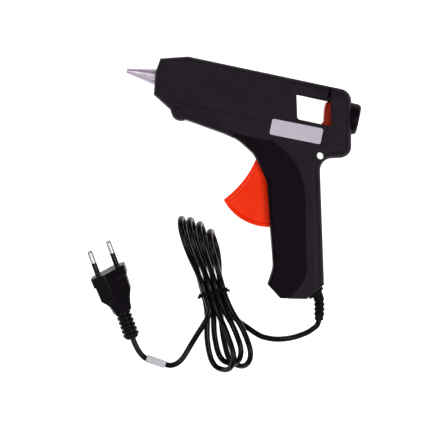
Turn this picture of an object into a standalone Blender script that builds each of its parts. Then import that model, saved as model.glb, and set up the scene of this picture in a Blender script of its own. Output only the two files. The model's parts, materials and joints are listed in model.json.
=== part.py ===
"""Mini hot glue gun, lying on its right side with its mains lead tied in a hank.

Metres, +Z up. X runs along the barrel with the nozzle at -X, Y runs up the gun, Z across its width.
The origin is on the surface that the gun lies on, straight below the trigger's pivot. One object a piece.
"""

import math

import bmesh
import bpy
import numpy as np
from mathutils import Matrix, Vector

# Casing
NOSE_REACH = 0.0925  # trigger pivot to the front face
REAR_REACH = 0.0530  # trigger pivot to the back of the barrel
HANDLE_DROP = 0.0823  # trigger pivot to the end of the handle
CASING_WIDTH = 0.0290
WALL = 0.0020
NOSE_WIDTH = 0.0190  # across the front face
REAR_ROUND = 0.0068  # round edge along the back of the handle and barrel
FIT = 0.0003  # left between pieces that touch
OVERRUN = 0.0020  # how far a cutter passes what it cuts
STEP = 0.0001  # least step between faces that mustn't coincide
SINK = 0.0010  # how far a rib or post reaches into the wall that carries it

# Barrel line
AXIS_HEIGHT = 0.0513  # trigger pivot to the middle of the barrel
BARREL_RISE = 0.0184  # middle of the barrel to its top
STICK_BORE = 0.0078
NOZZLE_LENGTH = 0.0202  # in front of the casing
NOZZLE_BASE = 0.0114
NOZZLE_TIP = 0.0034
NOZZLE_HOLE = 0.0016
NOZZLE_SEAT = 0.0130  # inside the casing
MOUTH_GAP = 0.0004
BARREL_LENGTH = 0.0340
BARREL_DIAMETER = 0.0136
SLEEVE_LENGTH = 0.0440
SLEEVE_WALL = 0.0015
SLEEVE_LAP = 0.0050  # how far the sleeve sits in the barrel's back end
FLANGE_DIAMETER = 0.0160
FLANGE_THICKNESS = 0.0020
RING_LENGTH = 0.0050
RING_WALL = 0.0024
RIB = 0.0018

# Trigger and pusher
TRIGGER_REACH = 0.0358  # pivot to the round bottom
TRIGGER_WIDTH = 0.0120
TRIGGER_RIM = 0.0024
RIM_DEPTH = 0.0010
TRIGGER_GAP = 0.0005  # around the trigger in its slot
SLOT_TOP = 0.0112  # pivot up to the slot's upper end
TRIGGER_FROM, TRIGGER_TO = math.radians(219.7), math.radians(291)
SLOT_TO = math.radians(288)
FINGER_TOP = (-0.0113, 0.0094)
FINGER_PULL = (-0.0148, -0.0085)
TRIGGER_BACK = ((0.0086, -0.0080), (0.0108, -0.0215))
HUB_RADIUS = 0.0052
TRIGGER_PIN = 0.0030
ARM_ROOM = 0.00155  # arm's end below the pusher's foot
ARM_OFFSET = 0.0066  # drive pin behind the pivot, at rest
ARM_WIDTH = 0.0080
ARM_THICKNESS = 0.0060
DRIVE_PIN = 0.0024
SLOT_PLAY = 0.0004
SLOT_STRETCH = 0.0013
PUSHER_TRAVEL = 0.0135
PUSHER_WIDTH = 0.0160
PUSHER_FOOT = 0.0042  # thickness of the plate that slides
PUSHER_BLOCK = 0.0080  # along the barrel
PUSHER_SHOW = 0.0036  # how far the block shows in the window
LEG_THICKNESS = 0.0030
LEG_LENGTH = 0.0080
RAIL_HEIGHT = 0.0020
FOOT_FRONT = 0.0020

# Window, hanging hole, rear collar and plate
WINDOW_LENGTH = 0.0242
WINDOW_HEIGHT = 0.0175
WINDOW_START = 0.0068  # behind the pivot, at the window's top
WINDOW_LEAN = 0.0043
WINDOW_ROUND = 0.0022
STAND_HOLE = 0.0018
STAND_HOLE_SHARES = (-0.781, 0.472)
HOLE_DIAMETER = 0.0052
HOLE_WALL = 0.0019
HOLE_BEHIND = 0.0322
HOLE_HEIGHT = 0.0212
COLLAR_DIAMETER = 0.0218
COLLAR_LENGTH = 0.0152
COLLAR_PROUD = 0.0004  # past the casing's back
COLLAR_MOUTH = 0.0120
COLLAR_FLANGE = 0.0246
PLATE_LENGTH = 0.0365
PLATE_HEIGHT = 0.0112
PLATE_THICKNESS = 0.0005
PLATE_SEAT = 0.0001
PLATE_BEHIND = 0.0122
PLATE_DROP = 0.00855  # window's lower edge down to the plate's middle
PLATE_TURN = math.radians(-1.5)
PLATE_ROUND = 0.0015

# Screws and posts
SCREW_DIAMETER = 0.0026
SCREW_LENGTH = 0.0130
HEAD_DIAMETER = 0.0050
HEAD_HEIGHT = 0.0018
HEAD_DEPTH = 0.0070  # head's seat above the right side's face
POST_DIAMETER = 0.0078
CLAMP_SCREW = 0.0020
CLAMP_HEAD = 0.0038
CLAMP_SPREAD = 0.0116
CLAMP_BAR = (0.0160, 0.0042, 0.0022)
CLAMP_POST = 0.0044
CLAMP_IN = 0.0105  # corner cut to the clamp
CLAMP_SCREW_TIP = 0.0050
CORD_IN = 0.0170  # corner cut to the end of the outer jacket

# Heater and wiring
HEATER = (0.0200, 0.0032, 0.0084)
CLIP_LENGTH = 0.0120
CLIP_THICKNESS = 0.0006
WIRE = 0.0018
WIRE_SHIFT = 0.0013
WIRE_OVER_POST = 0.0046
CRIMP_DIAMETER = 0.0022
SPRING_DIAMETER = 0.0068
SPRING_WIRE = 0.0008
SPRING_TURNS = 7
SPRING_LENGTH = 0.0175
SEAT_THICKNESS = 0.0020

# Lead, hank and plug
CORD_DIAMETER = 0.0038
RELIEF_FLANGE = 0.0116
RELIEF_BODY = 0.0074
RELIEF_END = 0.0056
RELIEF_LENGTH = 0.0195
RELIEF_RIBS = 4
RELIEF_NECK = 0.0064
RELIEF_INSIDE = 0.0040
RELIEF_DROP = (0.0068, -0.0190)  # corner cut to the relief's end
HANK_CENTRE = (-0.0212, -0.0883)
HANK_TURN = math.radians(117.3)  # direction from the tie to the top folds
HANK_STEP = 0.0044
HANK_FOLDS = 4
FOLD_WIDTH = 0.0228
HANK_TAIL = 0.0070
TOP_REACH, TOP_PITCH, TOP_LEAN = 0.0581, 0.0058, math.radians(101)
TOP_REACH_SHARES = (1.0, 0.96, 0.88, 0.76)
BOTTOM_REACH, BOTTOM_PITCH, BOTTOM_LEAN = 0.0570, 0.0060, math.radians(48)
BOTTOM_REACH_SHARES = (0.99, 0.94, 1.0)
RUN_STEPS, FOLD_STEPS = 7, 8
TIE_THICKNESS = 0.0010
TIE_WIDTH = 0.0026
TIE_EAR = 0.0070
TAG = (0.0140, 0.0064, 0.0062)
PLUG_WIDTH = 0.0350
PLUG_THICKNESS = 0.0135
PLUG_BODY = 0.0180
PLUG_SHOULDER = 0.0130
PLUG_TAIL = 0.0184
TAIL_DIAMETER = 0.0116
TAIL_RIBS = 6
TAIL_GROOVE = 0.0011
PIN_DIAMETER = 0.0040
PIN_LENGTH = 0.0190
PIN_SPACING = 0.0190
SLEEVE_SHARE = 0.5
PIN_CORE = 0.0026
PLUG_FACE = (-0.0965, -0.0883)
PLUG_HEADING = math.radians(-58.2)
PLUG_ROLL = math.radians(42)
PLUG_PITCH = math.radians(10.3)
PLUG_FLAT_SHARE = 0.57
TAG_PLACE = (-0.0502, -0.1440, 0.0032)
TAG_TURN = math.radians(-6.6)

TOP_HEIGHT = AXIS_HEIGHT + BARREL_RISE
MIDDLE = CASING_WIDTH / 2
AXIS = Vector((0, AXIS_HEIGHT, MIDDLE))
FRONT_FACE = -NOSE_REACH
NOZZLE_END = FRONT_FACE + NOZZLE_SEAT
BARREL_FRONT = NOZZLE_END + FIT
BARREL_BACK = BARREL_FRONT + BARREL_LENGTH
HEATER_MIDDLE = BARREL_FRONT + 0.65 * BARREL_LENGTH
HEATER_TOP = AXIS_HEIGHT - BARREL_DIAMETER / 2 - FIT
SLEEVE_FRONT = BARREL_BACK - SLEEVE_LAP
SLEEVE_BACK = SLEEVE_FRONT + SLEEVE_LENGTH
SLEEVE_OUTER = STICK_BORE / 2 + SLEEVE_WALL
PLATE_TOP = AXIS_HEIGHT - WINDOW_HEIGHT / 2 - RAIL_HEIGHT / 2
FOOT_BOTTOM = PLATE_TOP - PUSHER_FOOT
ARM_REACH = FOOT_BOTTOM - ARM_WIDTH / 2 - SLOT_STRETCH - ARM_ROOM
WINDOW_BOTTOM = AXIS_HEIGHT - WINDOW_HEIGHT / 2
PLATE_RISE = WINDOW_BOTTOM - PLATE_DROP
BLOCK_FRONT = WINDOW_START + WINDOW_LENGTH - PUSHER_SHOW
COLLAR_FRONT = REAR_REACH + COLLAR_PROUD - COLLAR_LENGTH
RING_RADIUS = NOZZLE_BASE / 2 + FIT + RING_WALL
PIN_DEPTH = MIDDLE - WALL - FIT
FRONT_CRADLE = FRONT_FACE + 0.070 * NOSE_REACH
BACK_CRADLE_BOTTOM = PLATE_TOP + 2 * FIT

# Outline of the casing: x in shares of the reach on that side, y in shares of the height or the drop, the
# corner's radius in shares of REAR_ROUND, and the round of the edge that starts there, as a share of it
OUTLINE_SHARES = (
    (-0.782, 0.999, 0, 0.60),
    (0.828, 1.0, 1.22, 1.0),
    (1.011, 0.353, 1.12, 1.0),
    (0.606, 0.274, 1.30, 1.0),
    (1.008, -0.806, 0, 0.42),
    (0.823, -0.956, 0, 0.42),
    (0.479, -1.0, 0, 0.42),
    (0.275, -0.905, 0, 0.60),
    (0.300, -0.750, 2.6, 0.60),
    (-0.011, -0.051, 2.2, 0.60),
    (-0.124, 0.140, 0, 0.60),
    (-0.157, 0.187, 1.4, 0.60),
    (-0.292, 0.290, 4.0, 0.60),
    (-0.400, 0.321, 5.0, 0.60),
    (-0.703, 0.376, 0, 0.60),
    (-0.724, 0.357, 0.6, 0.60),
    (-0.793, 0.352, 0.9, 0.60),
    (-0.836, 0.449, 0, 0.48),
    (-0.866, 0.471, 0, 0.36),
    (-0.979, 0.556, 0, 0.36),
    (-1.0, 0.790, 0, 0.36),
    (-0.985, 0.925, 0, 0.36),
)
NOSE_LINE_SHARES = ((-0.811, 0.855), (-0.886, 0.689), (-0.886, 0.613))
NOSE_FIRST, NOSE_LAST = 18, 21  # corners that the narrow nose has
SCREW_SHARES = (
    (-0.735, 0.901),
    (-0.368, 0.416),
    (0.047, 0.917),
    (0.840, 0.481),
    (0.547, -0.510),
    (0.453, -0.851),
)

# The two wires up the handle: x and y as in the outline, heights in shares of half the width
LEAD_SHARES = (
    (0.594, -0.680, 0.841),
    (0.632, -0.626, 0.538),
    (0.679, -0.559, 0.317),
    (0.689, -0.462, 0.317),
    (0.689, -0.316, 0.317),
    (0.613, -0.097, 0.317),
    (0.415, 0.086, 0.317),
    (0.151, 0.215, 0.317),
    (-0.065, 0.301, 0.317),
    (-0.162, 0.366, 0.317),
)
# The heater's wires: x in shares of the way to the heater's back end, y from the pivot (0) to over the
# second post (1) to the heater (2), heights in shares of half the width
HEATER_SHARES = (
    (0.456, 0.787, 0.317),
    (0.563, 0.893, 0.317),
    (0.679, 1.0, 0.400),
    (0.786, 1.53, 0.620),
    (0.881, 1.88, 0.897),
    (0.934, 2.0, 1.0),
    (0.9915, 2.0, 1.0),
)

# Places that the free stretches of the lead pass through
CORD_ROUTE_TO_HANK = (
    (0.0528, -0.0985, 0.0121),
    (0.0488, -0.1021, 0.0088),
    (0.0404, -0.1075, 0.0041),
    (0.0300, -0.1110, 0.0020),
    (0.0193, -0.1114, 0.0020),
    (0.0098, -0.1082, 0.0020),
    (-0.0004, -0.1037, 0.0024),
    (-0.0066, -0.0998, 0.0029),
    (-0.0103, -0.0949, 0.0032),
)
CORD_ROUTE_TO_TAG = (
    (-0.0220, -0.1060, 0.0073),
    (-0.0236, -0.1125, 0.0056),
    (-0.0258, -0.1192, 0.0036),
    (-0.0285, -0.1270, 0.0023),
    (-0.0309, -0.1342, 0.0022),
    (-0.0331, -0.1392, 0.0023),
    (-0.0361, -0.1428, 0.0026),
    (-0.0399, -0.1447, 0.0030),
)
CORD_ROUTE_TO_PLUG = ((-0.0636, -0.1395, 0.0038),)
CORD_SPACING = 1.3 * CORD_DIAMETER


def clear_scene():
    for old in list(bpy.data.objects):
        bpy.data.objects.remove(old, do_unlink=True)
    for name in ("hot_glue_applicator", "cutters"):
        collection = bpy.data.collections.new(name)
        bpy.context.scene.collection.children.link(collection)
    bpy.data.collections["cutters"].hide_render = True


def material(name, colour, roughness, metallic=0.0):
    made = bpy.data.materials.new(name)
    made.use_nodes = True
    shader = made.node_tree.nodes["Principled BSDF"]
    shader.inputs["Base Color"].default_value = (*colour, 1)
    shader.inputs["Roughness"].default_value = roughness
    shader.inputs["Metallic"].default_value = metallic
    made.diffuse_color = (*colour, 1)
    return made


def keep(obj, finish):
    """Puts a finished piece in the model's collection with its material, shaded smooth but for its edges."""
    for holder in list(obj.users_collection):
        holder.objects.unlink(obj)
    bpy.data.collections["hot_glue_applicator"].objects.link(obj)
    obj.data.materials.clear()
    obj.data.materials.append(finish)
    if obj.type == "MESH":
        obj.data.shade_smooth()
        obj.data.set_sharp_from_angle(angle=math.radians(35))
    return obj


def as_cutter(obj):
    for holder in list(obj.users_collection):
        holder.objects.unlink(obj)
    bpy.data.collections["cutters"].objects.link(obj)
    obj.hide_render = True
    obj.display_type = "WIRE"
    return obj


def new_object(name, mesh):
    obj = bpy.data.objects.new(name, mesh)
    bpy.context.scene.collection.objects.link(obj)
    return obj


def cut(obj, *cutters):
    combine(obj, "DIFFERENCE", *cutters)


def join(obj, *others):
    combine(obj, "UNION", *others)


def combine(obj, operation, *others):
    for other in others:
        as_cutter(other)
        step = obj.modifiers.new(other.name, "BOOLEAN")
        step.object = other
        step.operation = operation
        step.solver = "EXACT"


def from_bmesh(name, shape, matrix=None):
    if matrix is not None:
        bmesh.ops.transform(shape, matrix=matrix, verts=shape.verts)
    bmesh.ops.recalc_face_normals(shape, faces=shape.faces)
    mesh = bpy.data.meshes.new(name)
    shape.to_mesh(mesh)
    shape.free()
    return new_object(name, mesh)


def box(name, low, high):
    """A block from its lowest and highest corners."""
    shape = bmesh.new()
    low, high = Vector(low), Vector(high)
    size = high - low
    place = Matrix.Translation((low + high) / 2) @ Matrix.Diagonal((*size, 1))
    bmesh.ops.create_cube(shape, size=1, matrix=place)
    return from_bmesh(name, shape)


def rod(name, start, end, radius, end_radius=None, sides=24):
    """A cylinder or cone between two points."""
    start, end = Vector(start), Vector(end)
    run = end - start
    place = Matrix.Translation((start + end) / 2) @ run.to_track_quat("Z", "Y").to_matrix().to_4x4()
    shape = bmesh.new()
    bmesh.ops.create_cone(
        shape,
        cap_ends=True,
        segments=sides,
        radius1=radius,
        radius2=radius if end_radius is None else end_radius,
        depth=run.length,
        matrix=place,
    )
    return from_bmesh(name, shape)


def slab(name, outline, low, high):
    """A flat outline in X and Y with its thickness between two heights."""
    curve = bpy.data.curves.new(name, "CURVE")
    curve.dimensions = "2D"
    curve.fill_mode = "BOTH"
    curve.extrude = (high - low) / 2
    line = curve.splines.new("POLY")
    line.points.add(len(outline) - 1)
    for point, (x, y) in zip(line.points, outline):
        point.co = (x, y, 0, 1)
    line.use_cyclic_u = True
    guide = new_object(name + "_outline", curve)
    guide.location.z = (low + high) / 2
    bpy.context.view_layer.update()
    mesh = bpy.data.meshes.new_from_object(guide.evaluated_get(bpy.context.evaluated_depsgraph_get()))
    shape = bmesh.new()
    shape.from_mesh(mesh)
    bmesh.ops.remove_doubles(shape, verts=shape.verts, dist=0.000001)
    bmesh.ops.dissolve_limit(
        shape, angle_limit=math.radians(0.5), verts=shape.verts, edges=shape.edges
    )
    matrix = guide.matrix_world.copy()
    bpy.data.objects.remove(guide, do_unlink=True)
    bpy.data.meshes.remove(mesh)
    return from_bmesh(name, shape, matrix)


def turned(name, profile, steps=32):
    """A turned piece on the barrel's line. The profile is (place along X, radius), front to back, closed."""
    mesh = bpy.data.meshes.new(name)
    shape = bmesh.new()
    ring = [shape.verts.new((radius, 0, -along)) for along, radius in profile]
    for first, second in zip(ring, ring[1:] + ring[:1]):
        shape.edges.new((first, second))
    shape.to_mesh(mesh)
    shape.free()
    obj = new_object(name, mesh)
    screw = obj.modifiers.new("turn", "SCREW")
    screw.axis = "Z"
    screw.steps = steps
    screw.render_steps = steps
    screw.use_merge_vertices = True
    screw.merge_threshold = 0.00001
    shape = mesh_now(obj)
    bpy.data.objects.remove(obj, do_unlink=True)
    bmesh.ops.remove_doubles(shape, verts=shape.verts, dist=0.000001)
    return from_bmesh(name, shape, Matrix.Translation(AXIS) @ Matrix.Rotation(-math.pi / 2, 4, "Y"))


def tube(name, points, diameter, resolution=2, radii=None):
    """A round wire along its points. The radii are shares of its own radius."""
    curve = bpy.data.curves.new(name, "CURVE")
    curve.dimensions = "3D"
    curve.bevel_depth = diameter / 2
    curve.bevel_resolution = resolution
    curve.use_fill_caps = True
    line = curve.splines.new("POLY")
    line.points.add(len(points) - 1)
    for place, (point, at) in enumerate(zip(line.points, points)):
        point.co = (*at, 1)
        point.radius = radii[place] if radii else 1
    return new_object(name, curve)


def rounded(corners, turn_step=math.radians(16)):
    """A closed outline whose corners (x, y, radius) are arcs. Each point comes with its corner's number."""
    points = []
    for place, (x, y, radius) in enumerate(corners):
        here = Vector((x, y))
        before = Vector(corners[place - 1][:2]) - here
        after = Vector(corners[(place + 1) % len(corners)][:2]) - here
        if radius <= 0:
            points.append((x, y, place))
            continue
        inside = before.angle(after)
        setback = radius / math.tan(inside / 2)
        start = here + before.normalized() * setback
        end = here + after.normalized() * setback
        middle = here + (before.normalized() + after.normalized()).normalized() * (
            radius / math.sin(inside / 2)
        )
        first = (start - middle).angle_signed(Vector((1, 0)))
        turn = (end - middle).angle_signed(start - middle)
        steps = max(2, round(abs(turn) / turn_step))
        for step in range(steps + 1):
            angle = first + turn * step / steps
            points.append(
                (middle.x + radius * math.cos(angle), middle.y + radius * math.sin(angle), place)
            )
    return points


def smooth_route(places, spacing):
    """Points at even steps on a smooth curve through the given places."""
    known = [Vector(place) for place in places]
    ends = [2 * known[0] - known[1], *known, 2 * known[-1] - known[-2]]
    dense = []
    for a, b, c, d in zip(ends, ends[1:], ends[2:], ends[3:]):
        for step in range(20):
            t = step / 20
            dense.append(
                (
                    b * 2
                    + (c - a) * t
                    + (a * 2 - b * 5 + c * 4 - d) * t * t
                    + (b * 3 - a - c * 3 + d) * t**3
                )
                / 2
            )
    dense.append(known[-1])
    travelled = [0.0]
    for a, b in zip(dense, dense[1:]):
        travelled.append(travelled[-1] + (b - a).length)
    count = max(2, round(travelled[-1] / spacing))
    wanted = np.linspace(0, travelled[-1], count + 1)
    columns = [np.interp(wanted, travelled, [point[axis] for point in dense]) for axis in range(3)]
    return [Vector(point) for point in zip(*columns)]


def scaled_place(x_share, y_share):
    x = x_share * (NOSE_REACH if x_share < 0 else REAR_REACH)
    y = y_share * (TOP_HEIGHT if y_share > 0 else HANDLE_DROP)
    return x, y


def casing_outline():
    corners = [(*scaled_place(x, y), turn * REAR_ROUND) for x, y, turn, _ in OUTLINE_SHARES]
    return rounded(corners)


def nearest_corner(point, outline):
    return min(outline, key=lambda spot: (spot[0] - point.x) ** 2 + (spot[1] - point.y) ** 2)[2]


def casing_half(name, side):
    """One half of the casing, open at the parting plane. side is 1 for the left half, which lies on top."""
    outline = casing_outline()
    height = MIDDLE - FIT / 2
    shell = slab(name, [(x, y) for x, y, _ in outline], 0, height)
    shape = bmesh.new()
    shape.from_mesh(shell.data)
    mesh = shell.data
    bmesh.ops.delete(
        shape, geom=[f for f in shape.faces if f.normal.z < -0.5], context="FACES_ONLY"
    )
    top = max(shape.faces, key=lambda face: face.calc_center_median().z)
    places = {vert: nearest_corner(vert.co, outline) for vert in top.verts}
    rim = list(top.verts)
    first = next(vert for vert in rim if places[vert] == NOSE_FIRST)
    last = next(vert for vert in rim if places[vert] == 0)
    line = [Vector((*scaled_place(x, y), height)) for x, y in NOSE_LINE_SHARES]
    bmesh.utils.face_split(top, last, first, coords=line)
    weights = shape.edges.layers.float.new("bevel_weight_edge")
    for edge in shape.edges:
        a, b = edge.verts
        if a in places and b in places:
            pair = sorted((places[a], places[b]))
            start = pair[1] if pair == [0, len(OUTLINE_SHARES) - 1] else pair[0]
            edge[weights] = OUTLINE_SHARES[start][3]
    for vert, place in places.items():
        if NOSE_FIRST < place <= NOSE_LAST:
            vert.co.z = NOSE_WIDTH / 2
    bmesh.ops.recalc_face_normals(shape, faces=shape.faces)
    shape.to_mesh(mesh)
    shape.free()
    edge_round = shell.modifiers.new("edges", "BEVEL")
    edge_round.limit_method = "WEIGHT"
    edge_round.width = REAR_ROUND
    edge_round.segments = 3
    edge_round.use_clamp_overlap = False
    place = Matrix.Translation((0, 0, MIDDLE + side * FIT / 2)) @ Matrix.Diagonal((1, 1, side, 1))
    form = from_bmesh(name + "_form", casing_form(mesh_now(shell)), place)
    hollow = shell.modifiers.new("wall", "SOLIDIFY")
    hollow.thickness = WALL
    hollow.offset = -1
    hollow.use_even_offset = True
    shape = mesh_now(shell)
    for vert in shape.verts:
        if vert.co.z < SINK:
            vert.co.z = 0
    bpy.data.objects.remove(shell, do_unlink=True)
    return from_bmesh(name, shape, place), form


def mesh_now(obj):
    """What the object's modifiers make of it, as a mesh to work on."""
    bpy.context.view_layer.update()
    made = bpy.data.meshes.new_from_object(obj.evaluated_get(bpy.context.evaluated_depsgraph_get()))
    shape = bmesh.new()
    shape.from_mesh(made)
    bpy.data.meshes.remove(made)
    return shape


def casing_form(shape):
    """The solid that ribs and posts are trimmed to, so that they end inside the wall."""
    shape.normal_update()
    shifts = [(vert, vert.normal * SINK) for vert in shape.verts]
    for vert, shift in shifts:
        vert.co -= shift
    edge = [e for e in shape.edges if e.is_boundary]
    for vert in {vert for e in edge for vert in e.verts}:
        vert.co.z = -OVERRUN
    bmesh.ops.edgeloop_fill(shape, edges=edge)
    return shape


def side_z(side, depth):
    """A height given as a distance from the parting plane, towards the left half (1) or the right (-1)."""
    return MIDDLE + side * depth


def between(side, near, far):
    return sorted((side_z(side, near), side_z(side, far)))


def post(name, x, y, radius, side, near, far):
    low, high = between(side, near, far)
    return rod(name, (x, y, low), (x, y, high), radius)


def corner_cut():
    """The middle of the handle's corner cut, and the way out of it."""
    first = Vector(scaled_place(*OUTLINE_SHARES[4][:2]))
    second = Vector(scaled_place(*OUTLINE_SHARES[5][:2]))
    along = (second - first).normalized()
    middle = (first + second) / 2
    return Vector((*middle, MIDDLE)), Vector((-along.y, along.x, 0))


def window_outline():
    top = AXIS_HEIGHT + WINDOW_HEIGHT / 2
    return [
        (x, y)
        for x, y, _ in rounded(
            (
                (WINDOW_START, top, 0),
                (WINDOW_START + WINDOW_LENGTH, top, 0),
                (WINDOW_START + WINDOW_LENGTH + WINDOW_LEAN, WINDOW_BOTTOM, 0),
                (WINDOW_START + WINDOW_LEAN, WINDOW_BOTTOM, WINDOW_ROUND),
            )
        )
    ]


def arc(radius, first, last, steps):
    return [
        (
            radius * math.cos(first + (last - first) * step / steps),
            radius * math.sin(first + (last - first) * step / steps),
        )
        for step in range(steps + 1)
    ]


def trigger_slot(name):
    depth = TRIGGER_WIDTH / 2 + TRIGGER_GAP
    reach = TRIGGER_REACH + TRIGGER_GAP
    first = math.pi - math.asin(SLOT_TOP / reach)
    outline = [(HUB_RADIUS, SLOT_TOP), *arc(reach, first, SLOT_TO, 16)]
    return slab(name, outline, MIDDLE - depth, MIDDLE + depth)


def fit_casing(shell, form, side):
    """Gives a half casing its ribs and posts, then its openings."""
    tag = shell.name + "_"
    parting = FIT / 2
    hole_radius = HOLE_DIAMETER / 2
    low, high = between(side, parting, MIDDLE)
    cradle_end = SLEEVE_BACK - FLANGE_THICKNESS - FIT
    collar_rib = COLLAR_FRONT - FIT
    rail_low, rail_high = between(side, PUSHER_WIDTH / 2 - SINK, MIDDLE)
    ribs = [
        post(f"{tag}post_{place}", *scaled_place(*shares), POST_DIAMETER / 2, side, parting, MIDDLE)
        for place, shares in enumerate(SCREW_SHARES)
    ]
    ribs += [
        post(tag + "hanging_post", HOLE_BEHIND, HOLE_HEIGHT, hole_radius + HOLE_WALL, side, parting, MIDDLE),
        box(
            tag + "front_cradle",
            (FRONT_CRADLE, HOLE_HEIGHT, low),
            (FRONT_CRADLE + RIB, TOP_HEIGHT, high),
        ),
        box(
            tag + "back_cradle",
            (cradle_end - RIB, BACK_CRADLE_BOTTOM, low),
            (cradle_end, TOP_HEIGHT, high),
        ),
        box(
            tag + "collar_rib",
            (collar_rib - RIB, BACK_CRADLE_BOTTOM, low),
            (collar_rib, TOP_HEIGHT, high),
        ),
        box(
            tag + "rail",
            (FOOT_FRONT - PUSHER_TRAVEL, FOOT_BOTTOM - FIT - RAIL_HEIGHT, rail_low),
            (BLOCK_FRONT, FOOT_BOTTOM - FIT, rail_high),
        ),
        slab(tag + "spring_seat", seat_outline(), low, high),
    ]
    if side < 0:
        post_top = MIDDLE - CORD_DIAMETER / 2 - FIT
        ribs += [
            rod(f"{tag}clamp_post_{place}", (spot.x, spot.y, 0), (spot.x, spot.y, post_top), CLAMP_POST / 2)
            for place, spot in enumerate(clamp_spots())
        ]
    for rib in ribs:
        combine(rib, "INTERSECT", form)
        join(shell, rib)
    cut(shell, trigger_slot(tag + "trigger_slot"))
    boss = post(tag + "pivot_post", 0, 0, TRIGGER_PIN, side, TRIGGER_WIDTH / 2 + FIT, MIDDLE)
    if side > 0:
        combine(boss, "INTERSECT", form)
    join(shell, boss)
    centre, out = corner_cut()
    neck = RELIEF_NECK / 2 + FIT
    cut(
        shell,
        slab(tag + "window", window_outline(), -OVERRUN, CASING_WIDTH + OVERRUN),
        rod(
            tag + "hanging_hole",
            (HOLE_BEHIND, HOLE_HEIGHT, -OVERRUN),
            (HOLE_BEHIND, HOLE_HEIGHT, CASING_WIDTH + OVERRUN),
            hole_radius,
        ),
        rod(
            tag + "mouth",
            AXIS + Vector((FRONT_FACE - OVERRUN, 0, 0)),
            AXIS + Vector((FRONT_CRADLE - FIT, 0, 0)),
            NOZZLE_BASE / 2 + MOUTH_GAP,
            sides=32,
        ),
        rod(
            tag + "ring_seat",
            AXIS + Vector((FRONT_CRADLE - OVERRUN / 2, 0, 0)),
            AXIS + Vector((FRONT_CRADLE + RIB + OVERRUN, 0, 0)),
            RING_RADIUS + FIT + STEP,
            sides=32,
        ),
        rod(
            tag + "sleeve_seat",
            AXIS + Vector((cradle_end - RIB - OVERRUN, 0, 0)),
            AXIS + Vector((cradle_end + OVERRUN, 0, 0)),
            SLEEVE_OUTER + FIT,
            sides=32,
        ),
        rod(
            tag + "collar_hole",
            AXIS + Vector((COLLAR_FRONT + OVERRUN, 0, 0)),
            AXIS + Vector((REAR_REACH + OVERRUN, 0, 0)),
            COLLAR_DIAMETER / 2 + FIT,
            sides=32,
        ),
        rod(
            tag + "stick_hole",
            AXIS + Vector((BLOCK_FRONT, 0, 0)),
            AXIS + Vector((COLLAR_FRONT + OVERRUN, 0, 0)),
            STICK_BORE / 2 + FIT,
            sides=32,
        ),
        rod(tag + "relief_hole", centre - out * REAR_ROUND, centre + out * OVERRUN, neck),
        rod(
            tag + "pin_socket",
            (0, 0, side_z(side, 0)),
            (0, 0, side_z(side, PIN_DEPTH + FIT)),
            TRIGGER_PIN / 2 + FIT,
        ),
    )
    for place, (x_share, y_share) in enumerate(SCREW_SHARES):
        x, y = scaled_place(x_share, y_share)
        cut(
            shell,
            rod(
                f"{tag}screw_hole_{place}",
                (x, y, HEAD_DEPTH - OVERRUN),
                (x, y, HEAD_DEPTH + SCREW_LENGTH + FIT),
                SCREW_DIAMETER / 2 + FIT,
                sides=16,
            ),
        )
        if side < 0:
            cut(
                shell,
                rod(
                    f"{tag}head_hole_{place}",
                    (x, y, -OVERRUN),
                    (x, y, HEAD_DEPTH),
                    HEAD_DIAMETER / 2 + FIT,
                    sides=20,
                ),
            )
    if side > 0:
        cut(shell, rating_recess(tag + "rating_recess"))
        boss_x, boss_y = scaled_place(*STAND_HOLE_SHARES)
        cut(
            shell,
            rod(
                tag + "stand_hole",
                (boss_x, boss_y, CASING_WIDTH - WALL / 2),
                (boss_x, boss_y, CASING_WIDTH + OVERRUN),
                STAND_HOLE / 2,
                sides=12,
            ),
        )
    else:
        for place, spot in enumerate(clamp_spots()):
            cut(
                shell,
                rod(
                    f"{tag}clamp_hole_{place}",
                    (spot.x, spot.y, CLAMP_SCREW_TIP - FIT),
                    (spot.x, spot.y, MIDDLE),
                    CLAMP_SCREW / 2 + FIT,
                    sides=12,
                ),
            )


def spring_line():
    """The spring's two ends: on the trigger's back edge and on its seat."""
    angle = math.atan2(TRIGGER_BACK[0][0] - TRIGGER_BACK[1][0], TRIGGER_BACK[0][1] - TRIGGER_BACK[1][1])
    start = Vector(TRIGGER_BACK[1]) + Vector((SPRING_WIRE, 0))
    return start, start + Vector((math.cos(angle), math.sin(angle))) * SPRING_LENGTH


def seat_outline():
    start, end = spring_line()
    along = (end - start).normalized()
    across = Vector((-along.y, along.x)) * SPRING_DIAMETER * 0.7
    near = end + along * SPRING_WIRE
    far = near + along * SEAT_THICKNESS
    return [tuple(near - across), tuple(far - across), tuple(far + across), tuple(near + across)]


def rating_recess(name):
    depth = PLATE_THICKNESS
    return placed_plate(name, FIT, CASING_WIDTH - depth, CASING_WIDTH + OVERRUN)


def placed_plate(name, grow, low, high):
    half_x, half_y = PLATE_LENGTH / 2 + grow, PLATE_HEIGHT / 2 + grow
    corners = [(x, y, PLATE_ROUND) for x, y in ((-1, -1), (1, -1), (1, 1), (-1, 1))]
    corners = [(x * half_x, y * half_y, radius) for x, y, radius in corners]
    turn = Matrix.Rotation(PLATE_TURN, 2)
    spots = [turn @ Vector((x, y)) for x, y, _ in rounded(corners, math.radians(30))]
    outline = [(PLATE_BEHIND + spot.x, PLATE_RISE + spot.y) for spot in spots]
    return slab(name, outline, low, high)


def rating_plate():
    low = CASING_WIDTH - PLATE_THICKNESS + PLATE_SEAT
    return placed_plate("rating_plate", 0, low, low + PLATE_THICKNESS)


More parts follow.
